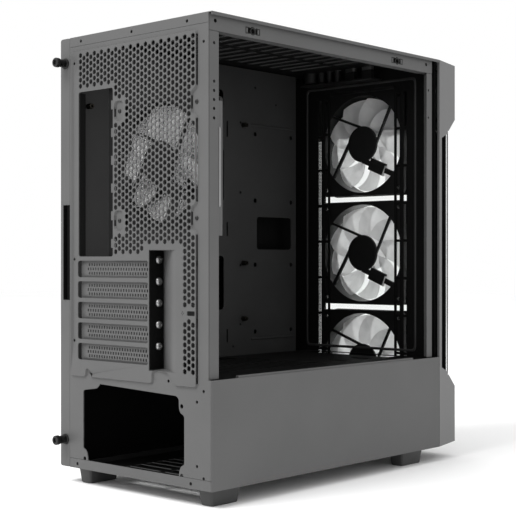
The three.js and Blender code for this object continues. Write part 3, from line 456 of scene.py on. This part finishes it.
def connector_surround():
    """Black strip behind one side of the connector opening, and a black fold down the other: painted shade
    for the dark edges of the opening.
    """
    bm = bmesh.new()
    add_block(bm, (io_x0 + 0.2, rear - 3.2, io_z0 - 2), (io_x0 + 11, rear - 2.4, io_z1 + 2))
    add_block(bm, (io_x1 - 1.3, rear - 6, io_z0 + 1), (io_x1 - 0.1, rear + 0.9, io_z1 - 1))
    new_piece("connector_edge_shade_strips", bm, shaded_black_coat, "chassis", bevel=0.15)
    bm = bmesh.new()
    for k in range(6):
        z = io_z1 - 16 - 26.8 * k
        add_block(bm, (io_x0 - 0.5, rear - 2.2, z - 4.4), (io_x0 + 6.4, rear - 1.2, z + 4.4))
    return new_piece("connector_edge_tabs", bm, grey_coat, "chassis", bevel=0.4)


connector_surround()

# ---------------------------------------------------------------- slot covers and their screws
# Five loose covers of 1 mm steel, each punched with three rows of slots. One end is rounded, and the
# other is bent into the recess, under a nickelled pan-head screw.

def slot_cover(i):
    bm = bmesh.new()
    z = slot_z[i]
    face = -1.8
    outline = rectangle(pocket_x + 0.2, slot_end - 1.1, z - cover_half, z + cover_half, 3.5, face)
    holes = []
    for row in range(3):
        for k in range(24):
            x = pocket_x + 3.6 + 3.75 * k + (1.9 if row == 1 else 0)
            middle_z = z + 4.2 * (row - 1)
            holes.append(rectangle(x - 0.95, x + 0.95, middle_z - 1.4, middle_z + 1.4, 0.5, face + 0.5))
    folds = [rectangle(pocket_x + 0.9, slot_end - 3.2, z - 7.4, z + 7.4, 3.2, face),
             rectangle(pocket_x + 1.5, slot_end - 4, z - 6.6, z + 6.6, 3, face + 0.5)]
    add_sheet(bm, on_rear, outline, holes, folds)
    return new_piece(f"slot_cover_sheet_{i + 1}", bm, grey_coat, "chassis",
                     [f"slot_cover_{i + 1}"])


def add_loft(bm, loops, hollow=False):
    """Skin from loop to loop, each a list of as many points. A hollow one closes on its first loop,
    and any other is capped at both ends."""
    rows = [[bm.verts.new(point) for point in loop] for loop in loops]
    for row, after in zip(rows, rows[1:] + (rows[:1] if hollow else [])):
        for k in range(len(row)):
            j = (k + 1) % len(row)
            bm.faces.new((row[k], row[j], after[j], after[k]))
    if not hollow:
        bm.faces.new(rows[0][::-1])
        bm.faces.new(rows[-1])


def add_lathe(bm, profile, lay, sides=32, hollow=False, fluted=()):
    """Turned part: (radius, height) points spun round an axis. lay turns (a, b, height) to 3D, and
    fluted holds the numbers of the points that shallow flutes run through."""
    rings = []
    for i, (radius, height) in enumerate(profile):
        ring = []
        for k in range(sides):
            t = 2 * math.pi * k / sides
            reach = max(radius, 0.001) - (0.35 if i in fluted and k % 4 < 2 else 0)
            ring.append(lay(reach * math.cos(t), reach * math.sin(t), height))
        rings.append(ring)
    add_loft(bm, rings, hollow)


def plated_steel(name, colour, rough):
    """Plated screw steel: a true metal, with fine turning marks that blur its highlights."""
    made, tree, shader, place = new_finish(name, Metallic=1.0)
    shader.inputs["Base Color"].default_value = from_hex(colour)
    # Turning marks are about 0.1 mm apart. They are drawn 0.4 mm apart, so that they show at all.
    marks = add_node(tree, "ShaderNodeTexNoise", {"Scale": 1 / (0.4 * mm), "Detail": 1.0}, {"Vector": place})
    vary_gloss(tree, shader, marks.outputs["Fac"], rough - 0.08, rough + 0.1)
    return made


nickel = plated_steel("nickel_plated_steel", "#9a9a9a", 0.34)
black_zinc = plated_steel("black_zinc_plated_steel", "#3a3a3a", 0.38)


def slot_screw(i):
    bm = bmesh.new()
    low, high = extent(f"slot_screw_{i + 1}")
    on_screw = square_to("x", (low.x, low.y + 3.8, (low.z + high.z) / 2))
    dome = [(0, 0.9), (1.2, 0.9), (1.5, 0), (2.6, 0.3), (3.5, 1.1), (3.9, 2.1), (3.9, 2.6), (1.6, 2.7)]
    add_lathe(bm, [*dome, (1.6, high.x - low.x - 0.4), (1.2, high.x - low.x)], on_screw, 24)
    return new_piece(f"slot_screw_pan_{i + 1}", bm, nickel, "chassis",
                     [f"slot_screw_{i + 1}"])


for i in range(5):
    slot_cover(i)
    slot_screw(i)

# ---------------------------------------------------------------- folded shell
# Roof, floor pan, power supply bay covers, rails and columns: sheet steel, cut, folded and riveted,
# then powder coated. The outside is grey, and what faces the main chamber is black paint made darker
# still, which carries the shade inside the case (painted shade).

def drilled(name, node, cutters, finish, body="chassis", bevel=0.3, inside=None):
    """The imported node's solid with small holes drilled in it and its edges softened."""
    bm = bmesh.new()
    bm.from_mesh(bpy.data.objects[node].data)
    bmesh.ops.scale(bm, vec=(1 / mm, 1 / mm, 1 / mm), verts=bm.verts)
    bmesh.ops.remove_doubles(bm, verts=bm.verts, dist=0.001)
    if cutters:
        blank, tool = bpy.data.meshes.new("blank"), bpy.data.meshes.new("tool")
        bm.to_mesh(blank)
        bm.free()
        bits = bmesh.new()
        for cutter in cutters:
            cutter(bits)
        bmesh.ops.recalc_face_normals(bits, faces=bits.faces)
        bits.to_mesh(tool)
        bits.free()
        work, bit = bpy.data.objects.new("work", blank), bpy.data.objects.new("bit", tool)
        for thing in (work, bit):
            bpy.context.scene.collection.objects.link(thing)
        cut = work.modifiers.new("drill", "BOOLEAN")
        cut.operation, cut.object, cut.solver = "DIFFERENCE", bit, "EXACT"
        cut.use_self = True
        drilled_mesh = work.evaluated_get(bpy.context.evaluated_depsgraph_get()).to_mesh()
        bm = bmesh.new()
        bm.from_mesh(drilled_mesh)
        for thing, mesh in ((work, blank), (bit, tool)):
            bpy.data.objects.remove(thing)
            bpy.data.meshes.remove(mesh)
    bmesh.ops.dissolve_limit(bm, angle_limit=0.01, verts=bm.verts, edges=bm.edges)
    return new_piece(name, bm, finish, body, [node], bevel, inside=inside)


def bore(axis, centre, radius, depth, sides=16):
    """Drill bit for drilled(): a short cylinder along X, Y or Z."""
    def cutter(bm):
        add_lathe(bm, [(radius, -depth), (radius, depth)], square_to(axis, centre), sides)
    return cutter


def slot_bit(low, high):
    """Punch for drilled(): a rectangular bar."""
    def cutter(bm):
        add_block(bm, low, high)
    return cutter


# Faces that look into the case take the shaded black: black paint, darkened for painted shade.
flange_bores = [bore("y", (left + a, rear, top - 5), 1.6, 3) for a in (182.5, 107.4, 32)]
drilled("roof_sheet", "roof_panel", flange_bores, grey_coat, bevel=0.35,
        inside=lambda at, normal: normal.z < 0.3 and at.y < rear - 1.2 and at.x > left + 1.2)
flange_bores = [bore("y", (left + a, rear, bottom + 4.4), 1.6, 3) for a in (187.7, 27.1)]
drilled("floor_sheet", "floor_pan", flange_bores, grey_coat, bevel=0.3,
        inside=lambda at, normal: normal.z > 0.3 and at.y < rear - 1.2)
drilled("power_supply_bay_side", "shroud_side_cover", [], grey_coat, bevel=0.4,
        inside=lambda at, normal: normal.x > 0.3 or normal.z < -0.3)

lid_low, lid_high = extent("shroud_lid")
lid_slots = [slot_bit((x, y, lid_low.z - 5), (x + 45, y + 5, lid_high.z + 5))
             for y in range(-20, 150, 12) for x in (-50, 5)]
# The lid is black paint darkened to carry the interior's shade (painted shade).
drilled("power_supply_bay_lid", "shroud_lid", lid_slots, shaded_black_coat, bevel=0.2)

column_low, _ = extent("rear_left_column")
column_bores = [bore("x", (column_low.x, rear - 7.5, z), 1.4, 8)
                for z in (418, 383.5, 375.2, 367, 359, 350.5)]
drilled("rear_column", "rear_left_column", column_bores, grey_coat, bevel=0.35)


def column_tab():
    """Tab lanced from the rear column, with a bright nickel rod along its fold that stands for the highlight
    the fold catches (painted highlight).
    """
    bm = bmesh.new()
    x, y, _ = column_low
    on_side = square_to("x", (x + 1.6, 0, 0), -1)
    add_sheet(bm, on_side, rectangle(y - 6.2, y + 1.6, 245, 367, 0.8))
    new_piece("rear_column_tab", bm, grey_coat, "chassis", bevel=0.2)
    bm = bmesh.new()
    on_fold = square_to("z", (x + 0.3, y - 1.3, 0))
    add_lathe(bm, [(0.5, 271), (0.9, 273), (0.9, 341), (0.5, 343)], on_fold, 12)
    return new_piece("rear_column_fold_highlight", bm, nickel, "chassis")


column_tab()
front_column_low, front_column_high = extent("front_left_column")
column_bores = [bore("x", (front_column_low.x, front_column_high.y - 3.4, z), 1.3, 3)
                for z in (410, 380)]
drilled("front_column", "front_left_column", column_bores, grey_coat, bevel=0.35)
rail_low, _ = extent("left_top_rail")
rail_bores = [bore("x", (rail_low.x, rear - depth, rail_low.z + 9), 1.9, 3) for depth in (9, 340)]
drilled("top_rail", "left_top_rail", rail_bores, grey_coat, bevel=0.35)

# ---------------------------------------------------------------- glass panel sockets
# Black moulded sockets in the top rail, each with a round mouth for a ball stud and two wings that
# snap behind the sheet.

def moulded_abs(name, light, dark, rough, grain):
    """Spark-textured ABS: an even colour with a pebbled skin, which breaks up its highlights."""
    made, tree, shader, place = new_finish(name, IOR=1.53, Specular_IOR_Level=0.3)
    pebble = add_node(tree, "ShaderNodeTexVoronoi", {"Scale": 1 / (grain * mm)}, {"Vector": place})
    emboss(tree, shader, pebble.outputs["Distance"], 0.1, 0.05)
    tone = mottle(tree, shader, place, 40, dark, light, Detail=2.0)
    vary_gloss(tree, shader, tone, rough - 0.06, rough + 0.06)
    return made


# Spark texture is about 0.2 mm. It is drawn at 0.8 mm, so that it shows as a faint grain.
black_abs = moulded_abs("black_spark_textured_abs", "#101010", "#0b0b0b", 0.5, 0.8)


def panel_socket(name):
    bm = bmesh.new()
    low, high = extent(f"panel_socket_{name}")
    _, y, z = (low + high) / 2
    mouth = [(2.2, 5.5), (2.2, 0.6), (2.9, 0), (3.6, 0), (3.9, 0.5), (3.9, 5.5)]
    add_lathe(bm, mouth, square_to("x", (low.x, y, z)), 24, hollow=True)
    for side in (-1, 1):
        a, b = sorted((side * 4.4, side * 9.8))
        add_block(bm, (low.x + 0.3, y + a, z - 3.1), (low.x + 1.1, y + b, z - 2.2))
        add_block(bm, (low.x + 0.3, y + a, z + 2.2), (low.x + 1.1, y + b, z + 3.1))
        a, b = sorted((side * 8.9, side * 9.8))
        add_block(bm, (low.x + 0.3, y + a, z - 2.1), (low.x + 1.1, y + b, z + 2.1))
    add_block(bm, (low.x + 2.2, y - 10.8, z - 3.9), (low.x + 5.8, y - 4.1, z + 3.9))
    add_block(bm, (low.x + 2.2, y + 4.1, z - 3.9), (low.x + 5.8, y + 10.8, z + 3.9))
    return new_piece(f"stud_socket_{name}", bm, black_abs, "chassis",
                     [f"panel_socket_{name}"], bevel=0.15)


for name in ("rear", "front"):
    panel_socket(name)

# ---------------------------------------------------------------- mainboard tray
# Black coated 1 mm sheet with cable openings, drive screw holes, tie slots and a stiffening rib.
# Nine hexagonal standoffs of blackened brass are screwed into it.

tray_x = extent("mainboard_tray")[0].x
tray_bits = [bore("x", (tray_x, rear - depth, z), 2.6, 4)
             for depth in (263, 326) for z in (368.3, 291.6, 217.5, 140.4)]
for depth, z in [(263, 422), (299, 405), (238, 380), (238, 300), (238, 217), (238, 150), (226, 125)]:
    tray_bits.append(bore("x", (tray_x, rear - depth, z), 1.5, 4, 12))
for z0, z1 in [(362, 380), (250, 266), (130, 145)]:
    tray_bits.append(slot_bit((tray_x - 4, rear - 217.6, z0), (tray_x + 4, rear - 215.2, z1)))
drilled("tray_sheet", "mainboard_tray", tray_bits, black_coat, bevel=0.3)


def tray_rib(name, z, depth0, depth1):
    """Half-round bead rolled into the tray, which stiffens it."""
    bm = bmesh.new()
    angles = [math.pi * k / 8 for k in range(9)]
    add_loft(bm, [[(tray_x - 0.7 * math.sin(t), rear - depth, z + 1.4 * math.cos(t)) for t in angles]
                  for depth in (depth1, depth0)])
    return new_piece(name, bm, black_coat, "chassis")


tray_rib("tray_bead_upper", 379, 256, 330)
tray_rib("tray_bead_lower", 132, 256, 330)

blackened_brass = plated_steel("blackened_brass", "#2a2824", 0.42)


def standoff(i):
    bm = bmesh.new()
    low, high = extent(f"standoff_{i + 1}")
    _, y, z = (low + high) / 2
    on_post = square_to("x", (low.x, y, z))
    length = high.x - low.x
    add_lathe(bm, [(1.5, 3), (1.5, 0.4), (1.9, 0), (2.6, 0), (2.95, 0.5), (2.95, length)], on_post, 6)
    return new_piece(f"standoff_post_{i + 1}", bm, blackened_brass, "chassis",
                     [f"standoff_{i + 1}"], smooth_angle=20)


for i in range(9):
    standoff(i)

# ---------------------------------------------------------------- front steel panel
# Black coated sheet that carries the three front fans. Slots beside the window let the fans or a
# radiator slide to height, and a pressed step runs all round.

plate_low, plate_high = extent("front_steel_panel")
# Its black is made darker than the paint, to carry the shade deep in the case (painted shade).
drilled("fan_wall", "front_steel_panel", [], shaded_black_coat, bevel=0.25)


def wall_step():
    """Pressed rectangular step, as four low ridges round the window."""
    bm = bmesh.new()
    x0, x1 = plate_low.x + 25, plate_high.x - 22
    z0, z1 = shroud_top + 4, plate_high.z - 13

    def frame_line(inset, radius, rise=0.0):
        return rectangle(x0 + inset, x1 - inset, z0 + inset, z1 - inset, radius, rise)

    add_sheet(bm, square_to("y", (0, plate_high.y + 0.8, 0)), frame_line(0, 6, -0.7),
              [frame_line(3, 4, -0.7)], [frame_line(1, 5.4), frame_line(2, 4.6)], thickness=0.1)
    return new_piece("fan_wall_step", bm, black_coat, "chassis")


wall_step()

# ---------------------------------------------------------------- fans
# Four 120 mm fans. Each frame is black glass-filled plastic in one moulding. Its motor seat hangs on
# four struts, one of them a wide trough for the cable. The nine blades are clear frosted plastic.

frame_plastic = moulded_abs("black_glass_filled_pbt", "#0a0a0a", "#060606", 0.42, 0.8)


def frosted_plastic():
    """Frosted polycarbonate: milky, lets light through softly, with faint flow lines of the mould."""
    # A blade is a thin wall, which hardly bends the light, so its IOR is far below the plastic's 1.58.
    made, tree, shader, place = new_finish("frosted_clear_polycarbonate", IOR=1.12, Transmission_Weight=0.7)
    flow = mottle(tree, shader, place, 12, "#e6e6e6", "#fafafa", (0.3, 0.7), Detail=3.0, Distortion=0.6)
    vary_gloss(tree, shader, flow, 0.24, 0.4)
    return made


frosted = frosted_plastic()
fan_bore = 56.5         # radius of the duct that the blades turn in
flange = 4              # thickness of the frame's two square ends


def add_bar(bm, start, end, width, y0, y1):
    """Straight strut from start to end, each (x, z), with square sides."""
    along = (Vector(end) - Vector(start)).normalized()
    side = Vector((-along.y, along.x)) * width / 2
    corners = [Vector(start) - side, Vector(end) - side, Vector(end) + side, Vector(start) + side]
    add_loft(bm, [[(p.x, y, p.y) for p in corners] for y in (y0, y1)])


def fan_frame(name):
    low, high = extent(f"{name}_frame")
    x, _, z = (low + high) / 2
    y0, y1 = low.y, high.y
    bm = bmesh.new()
    outline = rectangle(low.x, high.x, low.z, high.z, 6)
    holes = [circle(x + a * fan_hole, z + b * fan_hole, 2.15, 14) for a in (-1, 1) for b in (-1, 1)]
    holes.append(circle(x, z, fan_bore, 64))
    for back in (y1, y0 + flange):
        add_sheet(bm, square_to("y", (0, back, 0)), outline, holes, thickness=flange)

    # Barrel between the two flanges
    on_axis = square_to("y", (x, y0, z))
    barrel = [(fan_bore, 3.5), (fan_bore, 21.5), (fan_bore + 2, 21.5), (fan_bore + 2, 3.5)]
    add_lathe(bm, barrel, on_axis, 64, hollow=True)

    # Motor seat, then the struts, which leave it at a slant
    add_lathe(bm, [(20.2, 21.8), (21, 22.4), (21, 24.4), (20.4, 25)], on_axis, 40)
    for end_angle, width in ((38, 2.8), (134, 2.8), (319, 3.6), (220, 6)):
        t = math.radians(end_angle)
        start_angle = t + math.radians(50)
        start = Vector((x + 19 * math.cos(start_angle), z + 19 * math.sin(start_angle)))
        end = Vector((x + (fan_bore + 1) * math.cos(t), z + (fan_bore + 1) * math.sin(t)))
        add_bar(bm, start, end, width, y1 - 3, y1 - 0.2)
    box_start, box_end = start.lerp(end, 0.24), start.lerp(end, 0.7)
    add_bar(bm, box_start, box_end, 14, y1 - 4.2, y1 - 0.3)
    new_piece(f"{name}_housing", bm, frame_plastic, "chassis", [f"{name}_frame"], bevel=0.3)

    # White edge of the connector in the cable trough
    bm = bmesh.new()
    along = (end - start).normalized()
    across = Vector((-along.y, along.x))
    edge = box_end + along * 0.9
    add_bar(bm, edge - across * 5, edge + across * 7, 1.6, y1 - 3.6, y1)
    return new_piece(f"{name}_cable_edge", bm, frosted, "chassis", bevel=0.2)


def fan_rotor(name, body, turn):
    """Hub with a rounded rim, and nine cambered blades that twist from root to tip."""
    low, high = extent(f"{name}_frame")
    x, _, z = (low + high) / 2
    bm = bmesh.new()
    on_axis = square_to("y", (x, low.y, z))
    add_lathe(bm, [(16, 1.6), (18.6, 1.9), (19.8, 3), (20, 4.5), (20, 20.4), (19.4, 21)], on_axis, 48)
    blades, spans, steps, half = 9, 8, 8, 0.7
    for n in range(blades):
        base = turn + 2 * math.pi * n / blades
        front, back = [], []
        for i in range(spans + 1):
            s = i / spans
            radius = 19.5 + s * 34.6
            chord = math.radians(52 - 10 * s)
            sweep = math.radians(20) * s * s
            depth = 18 - 3 * s
            for j in range(steps + 1):
                t = j / steps
                angle = base + sweep + chord * (t - 0.5)
                height = 11.4 - depth * (t - 0.5) + 2.2 * math.sin(math.pi * t) - 1.1
                taper = half * (0.45 + 0.55 * math.sin(math.pi * min(max(t, 0.06), 0.94)))
                for side, points in ((-taper, front), (taper, back)):
                    points.append(bm.verts.new(on_axis(radius * math.cos(angle), radius * math.sin(angle),
                                                       height + side)))
        width = steps + 1
        for i in range(spans):
            for j in range(steps):
                a, b, c, d = i * width + j, i * width + j + 1, (i + 1) * width + j + 1, (i + 1) * width + j
                bm.faces.new((front[a], front[b], front[c], front[d]))
                bm.faces.new((back[d], back[c], back[b], back[a]))
        rim = [i * width for i in range(spans + 1)] + [spans * width + j for j in range(1, width)]
        rim += [i * width + steps for i in range(spans - 1, -1, -1)] + [j for j in range(steps - 1, 0, -1)]
        for a, b in zip(rim, rim[1:] + rim[:1]):
            bm.faces.new((front[a], front[b], back[b], back[a]))
    return new_piece(f"{name}_blades", bm, frosted, body, [f"{name}_rotor"], smooth_angle=50)


for name, turn in [("front_fan_top", 0.25), ("front_fan_middle", 0.25), ("front_fan_bottom", 0.25),
                   ("rear_fan", 0.6)]:
    fan_frame(name)
    fan_rotor(name, f"{name}_blades", turn)


def fan_screw(name, x, z):
    """Coarse black screw that cuts its own thread in the fan's corner."""
    bm = bmesh.new()
    head = [(1.2, -1.4), (1.2, 0.2), (1.9, 0.3), (1.9, 0.6), (1.3, 1.2), (0.5, 1.25), (0.4, 0.7)]
    add_lathe(bm, head, square_to("y", (x, rear, z)), 20)
    return new_piece(name, bm, black_zinc, "chassis")


for i, (a, b) in enumerate([(-1, 1), (-1, -1), (1, 1), (1, -1)]):
    fan_screw(f"rear_fan_screw_{i + 1}", fan_x + a * fan_hole, fan_z + b * fan_hole)

# ---------------------------------------------------------------- dust filters
# Fine black nylon mesh moulded into a thin frame. One lies on the roof and is held by magnets, and
# the other slides under the power supply.

nylon = moulded_abs("woven_black_nylon", "#1a1a1a", "#101010", 0.6, 0.5)


def dust_filter(node, name, body, pitch, rim):
    """Crossing threads in a frame. The real weave is about 0.8 mm, and it is drawn coarser, so that
    it shows as a mesh."""
    bm = bmesh.new()
    low, high = extent(node)
    inner = rectangle(low.x + rim, high.x - rim, low.y + rim, high.y - rim, 2)
    add_sheet(bm, square_to("z", (0, 0, high.z)), rectangle(low.x, high.x, low.y, high.y, 3), [inner],
              thickness=high.z - low.z)
    half, mid = 0.22, (low.z + high.z) / 2
    x = low.x + rim + pitch / 2
    while x < high.x - rim:
        add_block(bm, (x - half, low.y + rim - 0.5, mid), (x + half, high.y - rim + 0.5, mid + 0.3))
        x += pitch
    y = low.y + rim + pitch / 2
    while y < high.y - rim:
        add_block(bm, (low.x + rim - 0.5, y - half, mid - 0.3), (high.x - rim + 0.5, y + half, mid))
        y += pitch
    return new_piece(name, bm, nylon, body, [node])


dust_filter("top_dust_filter", "roof_filter_mesh", "top_filter", 1.7, 3)
dust_filter("bottom_dust_filter", "floor_filter_mesh", "bottom_filter", 1.7, 4)

# ---------------------------------------------------------------- front panel and glass
# An ABS surround, moulded with an upper and a lower block and painted to match the steel. A sheet of
# tempered glass is held between the blocks, and the fans draw their air past its edges.

def painted_abs():
    """Painted ABS: the steel's grey, a touch smoother, with a fine orange peel."""
    made, tree, shader, place = new_finish("grey_painted_abs", Roughness=0.45, IOR=1.5)
    mottle(tree, shader, place, 50, "#555555", "#5a5a5a", Detail=2.0)
    # Drawn at 1.2 mm, where the real peel is about 0.5 mm.
    peel = add_node(tree, "ShaderNodeTexNoise", {"Scale": 1 / (1.2 * mm), "Detail": 1.0}, {"Vector": place})
    emboss(tree, shader, peel.outputs["Fac"], 0.08, 0.1)
    return made


def clear_glass():
    """Tempered glass: clear and smooth, with a trace of green that drifts across the sheet."""
    made, tree, shader, place = new_finish("clear_tempered_glass", Roughness=0.02, IOR=1.52,
                                           Transmission_Weight=1.0)
    mottle(tree, shader, place, 80, "#f6fbf8", "#ffffff", Detail=1.0)
    return made


drilled("front_surround", "front_bezel", [], painted_abs(), bevel=0.6)
drilled("front_glass_sheet", "front_glass", [], clear_glass(), bevel=0.4)


def intake_strips():
    """What stands behind the glass's two edges: a black light seal on the open side, and a woven
    intake mesh on the closed side."""
    low, high = extent("front_glass")
    z0, z1 = low.z + 0.2, high.z - 0.2
    y = high.y + 0.5
    bm = bmesh.new()
    add_block(bm, (low.x + 0.3, y, z0), (low.x + 21, y + 1.2, z1))
    new_piece("light_seal", bm, black_abs, "chassis", bevel=0.3)
    bm = bmesh.new()
    x0, x1 = high.x - 24, high.x - 1
    for k in range(15):
        x = x0 + (x1 - x0) * k / 14
        add_block(bm, (x - 0.45, y, z0), (x + 0.45, y + 0.4, z1))
    for k in range(160):
        z = z0 + (z1 - z0) * k / 159
        add_block(bm, (x0, y + 0.4, z - 0.3), (x1, y + 0.8, z + 0.3))
    return new_piece("intake_mesh", bm, nylon, "chassis")


intake_strips()

# ---------------------------------------------------------------- controls and sockets
# A small circuit board is screwed under the roof's front end. It carries two USB sockets of folded
# steel, and two moulded audio jacks. Two moulded push keys slide in holes in the roof.

def usb_socket(i):
    """Folded steel shell with rolled-in mouth, round a black tongue."""
    bm = bmesh.new()
    low, high = extent(f"usb_socket_{i}")
    mouth = rectangle(low.x + 0.7, high.x - 0.7, low.y + 0.7, high.y - 0.7, 0.4)
    add_sheet(bm, square_to("z", (0, 0, high.z)), rectangle(low.x, high.x, low.y, high.y, 0.8), [mouth],
              thickness=4)
    new_piece(f"usb_shell_{i}", bm, nickel, "chassis", [f"usb_socket_{i}"], bevel=0.15)
    bm = bmesh.new()
    add_block(bm, (low.x, low.y, low.z), (high.x, high.y, high.z - 4.2))
    add_block(bm, (low.x + 1.1, low.y + 1, high.z - 4.3), (high.x - 1.1, low.y + 2.8, high.z - 1.2))
    return new_piece(f"usb_tongue_{i}", bm, black_abs, "chassis", bevel=0.2)


def audio_jack(i):
    bm = bmesh.new()
    low, high = extent(f"audio_jack_{i}")
    x, y, _ = (low + high) / 2
    length = high.z - low.z
    add_lathe(bm, [(3.8, 0), (3.8, length - 0.5), (3.3, length), (2.1, length), (1.8, length - 0.5),
                   (1.75, length - 8)], square_to("z", (x, y, low.z)))
    return new_piece(f"audio_socket_{i}", bm, black_abs, "chassis", [f"audio_jack_{i}"])


def push_key(node, name, body):
    bm = bmesh.new()
    low, high = extent(node)
    x, y, _ = (low + high) / 2
    radius, length = (high.x - low.x) / 2, high.z - low.z
    add_lathe(bm, [(radius, 0), (radius, length - 0.6), (radius - 0.5, length), (radius - 1.2, length - 0.1),
                   (radius * 0.4, length - 0.5), (0, length - 0.6)], square_to("z", (x, y, low.z)), 40)
    return new_piece(name, bm, black_abs, body, [node], smooth_angle=30)


for i in (1, 2):
    usb_socket(i)
    audio_jack(i)
push_key("power_button", "power_key_cap", "power_key")
push_key("reset_button", "reset_key_cap", "reset_key")
drilled("io_board", "front_io_board", [], black_abs, bevel=0.2)

# ---------------------------------------------------------------- right side panel and hand screws
# The closed side is one steel sheet folded at its edges, with a finger grip pressed into its rear
# flange. Two black hand screws with captive washers hold it.

# Its inner face is black paint darkened to carry the interior's shade (painted shade).
drilled("right_side_sheet", "right_side_panel", [], grey_coat, "side_panel", bevel=0.4,
        inside=lambda at, normal: normal.x < -0.5 and at.x > flange_edge + 3)


def hand_screw(name):
    low, high = extent(f"thumbscrew_{name}")
    x, _, z = (low + high) / 2
    on_screw = square_to("y", (x, rear, z))
    washer_low, washer_high = extent(f"thumbscrew_{name}_washer")
    inner, outer = washer_low.y - rear, washer_high.y - rear
    bm = bmesh.new()
    add_lathe(bm, [(2.7, inner), (5.2, inner), (5.4, inner + 0.6), (4.9, outer - 0.3), (3.4, outer),
                   (2.7, outer)], on_screw, hollow=True)
    new_piece(f"hand_screw_{name}_washer", bm, black_zinc, f"{name}_screw_carrier",
              [f"thumbscrew_{name}_washer"])

    # A narrow neck, then a head knurled with 24 shallow flutes, and a driver's recess in its end
    out = high.y - rear
    shank = [(1.6, low.y - rear), (1.6, 0.2), (2.3, 0.4), (2.3, 2.9)]
    neck = [(4, 3.1), (4, out - 6.2), (3.3, out - 5.9), (3.3, out - 5.5), (4.2, out - 5.2)]
    head = [(4.75, out - 4.5), (4.75, out - 1.1), (4.3, out - 0.3), (3.4, out), (2.4, out), (1.9, out - 1.6)]
    knurled = len(shank) + len(neck)
    bm = bmesh.new()
    add_lathe(bm, [*shank, *neck, *head], on_screw, 96, fluted=(knurled, knurled + 1))
    return new_piece(f"hand_screw_{name}", bm, black_zinc, f"{name}_screw",
                     [f"thumbscrew_{name}"], smooth_angle=40)


for name in ("upper", "lower"):
    hand_screw(name)

# ---------------------------------------------------------------- drive cage and feet
# The cage holds two drives. It is bent from black coated steel and riveted to the floor. Each of the
# four feet is a moulded ABS block, screwed on from below.

# The cage's black is made darker than the paint, to carry the shade deep in the case (painted shade).
drilled("drive_cage_sheet", "drive_cage", [], shaded_black_coat, bevel=0.3)

dark_abs = moulded_abs("dark_grey_moulded_abs", "#3a3a3a", "#333333", 0.5, 0.9)


def foot(name):
    """Block that narrows towards the floor, with round upright corners."""
    bm = bmesh.new()
    low, high = extent(f"foot_{name}")
    add_loft(bm, [rectangle(low.x + inset, high.x - inset, low.y + inset, high.y - inset, radius, z)
                  for z, inset, radius in [(0, 3.2, 3), (0.8, 2.4, 3.4), (high.z - 2, 0.4, 5),
                                           (high.z, 0.2, 5)]])
    return new_piece(f"foot_block_{name}", bm, dark_abs, "chassis", [f"foot_{name}"],
                     smooth_angle=30)


for name in ("rear_left", "rear_right", "front_left", "front_right"):
    foot(name)
